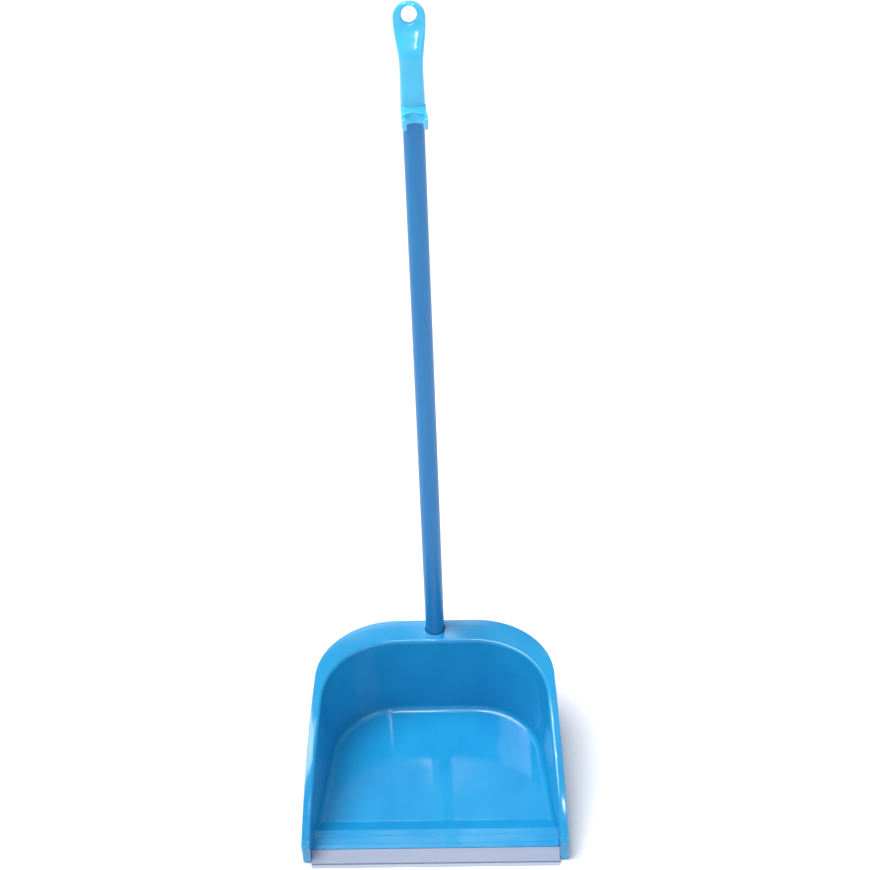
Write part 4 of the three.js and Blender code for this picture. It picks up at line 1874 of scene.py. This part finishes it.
    def clip_tips(self) -> list[Workpiece]:
        """Build the two round beads that end the clip's arms.

        Returns:
            The right bead and the left one.
        """
        made = []
        rim, full = self.tip_rim, self.tip_radius
        low, top = self.tip_inset, self.clip_height - self.tip_inset
        levels = [
            Level(low, full - rim, full - rim), Level(low + rim, full, full),
            Level(top - rim, full, full), Level(top, full - rim, full - rim),
        ]
        for hand in (1, -1):
            bead = Workpiece.stacked("tip", section(self.tip_sides, 2.0), levels)
            x = hand * (self.clip_mouth + self.tip_radius)
            y = self.clip_centre() - self.clip_bore + self.tip_radius / 2.0
            made.append(bead.carry(Matrix.Translation(Vector((x, y, 0.0)) * MM)))
        return made

    def shoulder(self) -> Workpiece:
        """Build the block between clip and socket, with its sloping top.

        Returns:
            The block.
        """
        inset, ease, edge = self.shoulder_inset, self.shoulder_ease, self.arm_round
        half = self.half_width - inset
        front, rear = self.clip_centre() + self.tip_radius, 0.0
        low, top = inset, self.clip_height - inset
        slope_start = -self.half_depth - self.clip_standoff
        shelf = top + self.clip_standoff
        outline = [
            (front, low), (rear, low), (rear, shelf), (-self.half_depth + ease, shelf),
            (slope_start, top), (front, top),
        ]
        radii = [edge, 0.0, 0.0, ease, ease, edge]
        corners = rounded(outline, radii, self.arm_round_steps)
        points = [Vector((-half, p.x, p.y)) for p in corners]
        return Workpiece.drawn("shoulder", points, (2.0 * half, 0.0, 0.0))

    def build(self, palette: Palette) -> None:
        """Build the grip, dress it and let it ride.

        Args:
            palette: The finishes.
        """
        s = self.sizes
        body = self.body()
        shoulder = self.shoulder()
        start, sides = self.bore_start, self.bore_sides
        clear = self.clip_bore + self.bore_ease
        reach = Workpiece.rod("clip_bore", clear, start, self.shoulder_bore_top, sides)
        reach.carry(Matrix.Translation(Vector((0.0, self.clip_centre(), 0.0)) * MM))
        shoulder.work(reach, Solid.CUT)
        body.work(shoulder, Solid.JOIN)
        body.work(self.clip(), Solid.JOIN)
        for tip in self.clip_tips():
            body.work(tip, Solid.JOIN)
        body.work(self.hang_cutter(), Solid.CUT)
        tube = Workpiece.rod("tube_bore", s.bore, start, s.grip_socket, sides)
        body.work(tube, Solid.CUT)
        body.close()
        raised = Matrix.Translation(Vector((0.0, 0.0, s.shown)) * MM)
        body.carry(s.handle @ raised @ Matrix.Rotation(self.turn, 4, "Z"))
        body.finish(self.crisp, palette.get(palette.grip_gloss))
        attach(body.piece, "grip")
        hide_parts("grip")


# ------------------------------------------------------------------ the studio


def hang_light(data: bpy.types.Light, place: Sequence[float], aim: Vector) -> None:
    """Hang a light.

    Args:
        data: The light.
        place: Where it hangs, in metres.
        aim: Which way it shines.
    """
    lamp = bpy.data.objects.new(data.name, data)
    lamp.location = place
    lamp.rotation_mode = "QUATERNION"
    lamp.rotation_quaternion = aim.to_track_quat("-Z", "Y")
    bpy.context.scene.collection.objects.link(lamp)


@dataclass(frozen=True)
class SoftLight:
    """A rectangular studio light: where it stands, where it points, its size and power."""

    name: str
    place: tuple[float, float, float]
    target: tuple[float, float, float]
    width: float
    height: float
    power: float

    def build(self) -> None:
        """Hang the light."""
        data = bpy.data.lights.new(self.name, "AREA")
        data.shape = "RECTANGLE"
        data.size, data.size_y, data.energy = self.width, self.height, self.power
        hang_light(data, self.place, Vector(self.target) - Vector(self.place))


@dataclass(frozen=True)
class Skylight:
    """An even overhead light: its direction, strength and how wide it spreads."""

    name: str
    heading: tuple[float, float, float]
    strength: float
    spread: float

    def build(self) -> None:
        """Hang the light."""
        data = bpy.data.lights.new(self.name, "SUN")
        data.energy, data.angle = self.strength, math.radians(self.spread)
        hang_light(data, (0.0, 0.0, 0.0), Vector(self.heading))


@dataclass(frozen=True)
class Studio:
    """The pale floor, the soft lights, the backdrop and the camera."""

    floor_half: float = 15.0
    floor_tint: str = "fbfbfb"
    floor_rough: float = 0.8
    floor_shine: float = 0.1
    world: str = "eef3ff"
    world_power: float = 0.42
    backdrop: str = "ffffff"
    camera_place: tuple[float, float, float] = (0.0639, -1.26854, 1.43862)
    pitch: float = math.radians(36.73)
    heading: float = math.radians(-2.21)
    roll: float = math.radians(-2.52)
    lens: float = 66.195
    sensor: float = 36.0
    sight: tuple[float, float] = (0.01, 60.0)
    sky: Skylight = Skylight("sky", (0.4, 0.0, -0.92), 2.85, 40.0)
    lights: tuple[SoftLight, ...] = (
        SoftLight("fill", (1.4, -1.2, 1.4), (0.0, 0.0, 0.2), 1.2, 1.2, 5.0),
        SoftLight("grip_lamp", (0.24, -0.8, 1.5), (0.0, 0.1, 0.8), 0.05, 0.16, 1.1),
        SoftLight("strip_front", (-0.05, -0.25, 2.1), (0.0, 0.1, 0.1), 0.26, 0.08, 2.4),
        SoftLight("strip_rear", (-0.1, 0.35, 2.2), (0.0, 0.1, 0.1), 0.26, 0.12, 2.6),
        SoftLight("ramp_line", (-0.1, 0.7, 2.1), (0.0, 0.0, 0.1), 0.5, 0.02, 0.2),
        SoftLight("rim_glow", (-0.22, 2.25, 1.95), (0.0, 0.0, 0.1), 0.62, 0.24, 1.1),
        SoftLight("lamp_left", (-0.5, 1.7, 1.75), (0.0, 0.0, 0.1), 0.16, 0.04, 0.16),
        SoftLight("lamp_middle", (-0.08, 1.85, 1.98), (0.0, 0.0, 0.1), 0.025, 0.3, 0.24),
        SoftLight("lamp_right", (0.3, 1.9, 2.0), (0.0, 0.0, 0.1), 0.025, 0.3, 0.24),
    )

    def build(self) -> None:
        """Lay the floor, hang the lights and set up the world and the camera."""
        self.lay_floor()
        for light in (self.sky, *self.lights):
            light.build()
        self.set_world()
        bpy.context.scene.view_settings.view_transform = "Standard"
        bpy.context.scene.view_settings.look = "None"
        self.set_camera()

    def set_world(self) -> None:
        """Light the scene from all round, with a plain white backdrop behind it."""
        world = bpy.data.worlds.new("studio")
        world.use_nodes = True
        world.node_tree.nodes.clear()
        sheet = NodeSheet(world.node_tree)
        choose = sheet.add("ShaderNodeMixShader")
        sheet.link(sheet.add("ShaderNodeLightPath").outputs["Is Camera Ray"], choose.inputs["Fac"])
        for slot, code, power in ((1, self.world, self.world_power), (2, self.backdrop, 1.0)):
            back = sheet.add("ShaderNodeBackground")
            back.inputs["Color"].default_value = colour(code)
            back.inputs["Strength"].default_value = power
            sheet.link(back.outputs["Background"], choose.inputs[slot])
        end = sheet.add("ShaderNodeOutputWorld")
        sheet.link(choose.outputs["Shader"], end.inputs["Surface"])
        bpy.context.scene.world = world

    def lay_floor(self) -> None:
        """Lay the pale floor."""
        clear_selection()
        bpy.ops.mesh.primitive_plane_add(size=2.0 * self.floor_half, location=(0.0, 0.0, 0.0))
        floor = bpy.context.object
        floor.name = "studio_floor"
        dress = bpy.data.materials.new("studio_floor")
        dress.use_nodes = True
        shader = dress.node_tree.nodes["Principled BSDF"]
        shader.inputs["Base Color"].default_value = colour(self.floor_tint)
        shader.inputs["Roughness"].default_value = self.floor_rough
        shader.inputs["Specular IOR Level"].default_value = self.floor_shine
        floor.data.materials.append(dress)

    def set_camera(self) -> None:
        """Set the camera at its place, turned by heading, pitch and roll."""
        forward = Vector((
            math.sin(self.heading) * math.cos(self.pitch),
            math.cos(self.heading) * math.cos(self.pitch),
            -math.sin(self.pitch),
        ))
        level = Vector((math.cos(self.heading), -math.sin(self.heading), 0.0))
        raised = level.cross(forward)
        right = level * math.cos(self.roll) + raised * math.sin(self.roll)
        up = raised * math.cos(self.roll) - level * math.sin(self.roll)
        data = bpy.data.cameras.new("camera")
        data.lens, data.sensor_width = self.lens, self.sensor
        data.clip_start, data.clip_end = self.sight
        camera = bpy.data.objects.new("camera", data)
        turn = Matrix((right, up, -forward)).transposed().to_4x4()
        camera.matrix_world = Matrix.Translation(self.camera_place) @ turn
        bpy.context.scene.collection.objects.link(camera)
        bpy.context.scene.camera = camera


def main() -> None:
    """Build the dustpan in its studio."""
    logging.basicConfig(level=logging.INFO, format="%(message)s")
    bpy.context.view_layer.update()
    sizes = ScoopSizes()
    palette = Palette()
    PanShell(sizes).build(palette)
    PanUnderside(sizes).build(palette)
    Lip(sizes).build(palette)
    Handle(sizes).build(palette)
    Grip(sizes).build(palette)
    Studio().build()


if __name__ == "__main__":
    main()
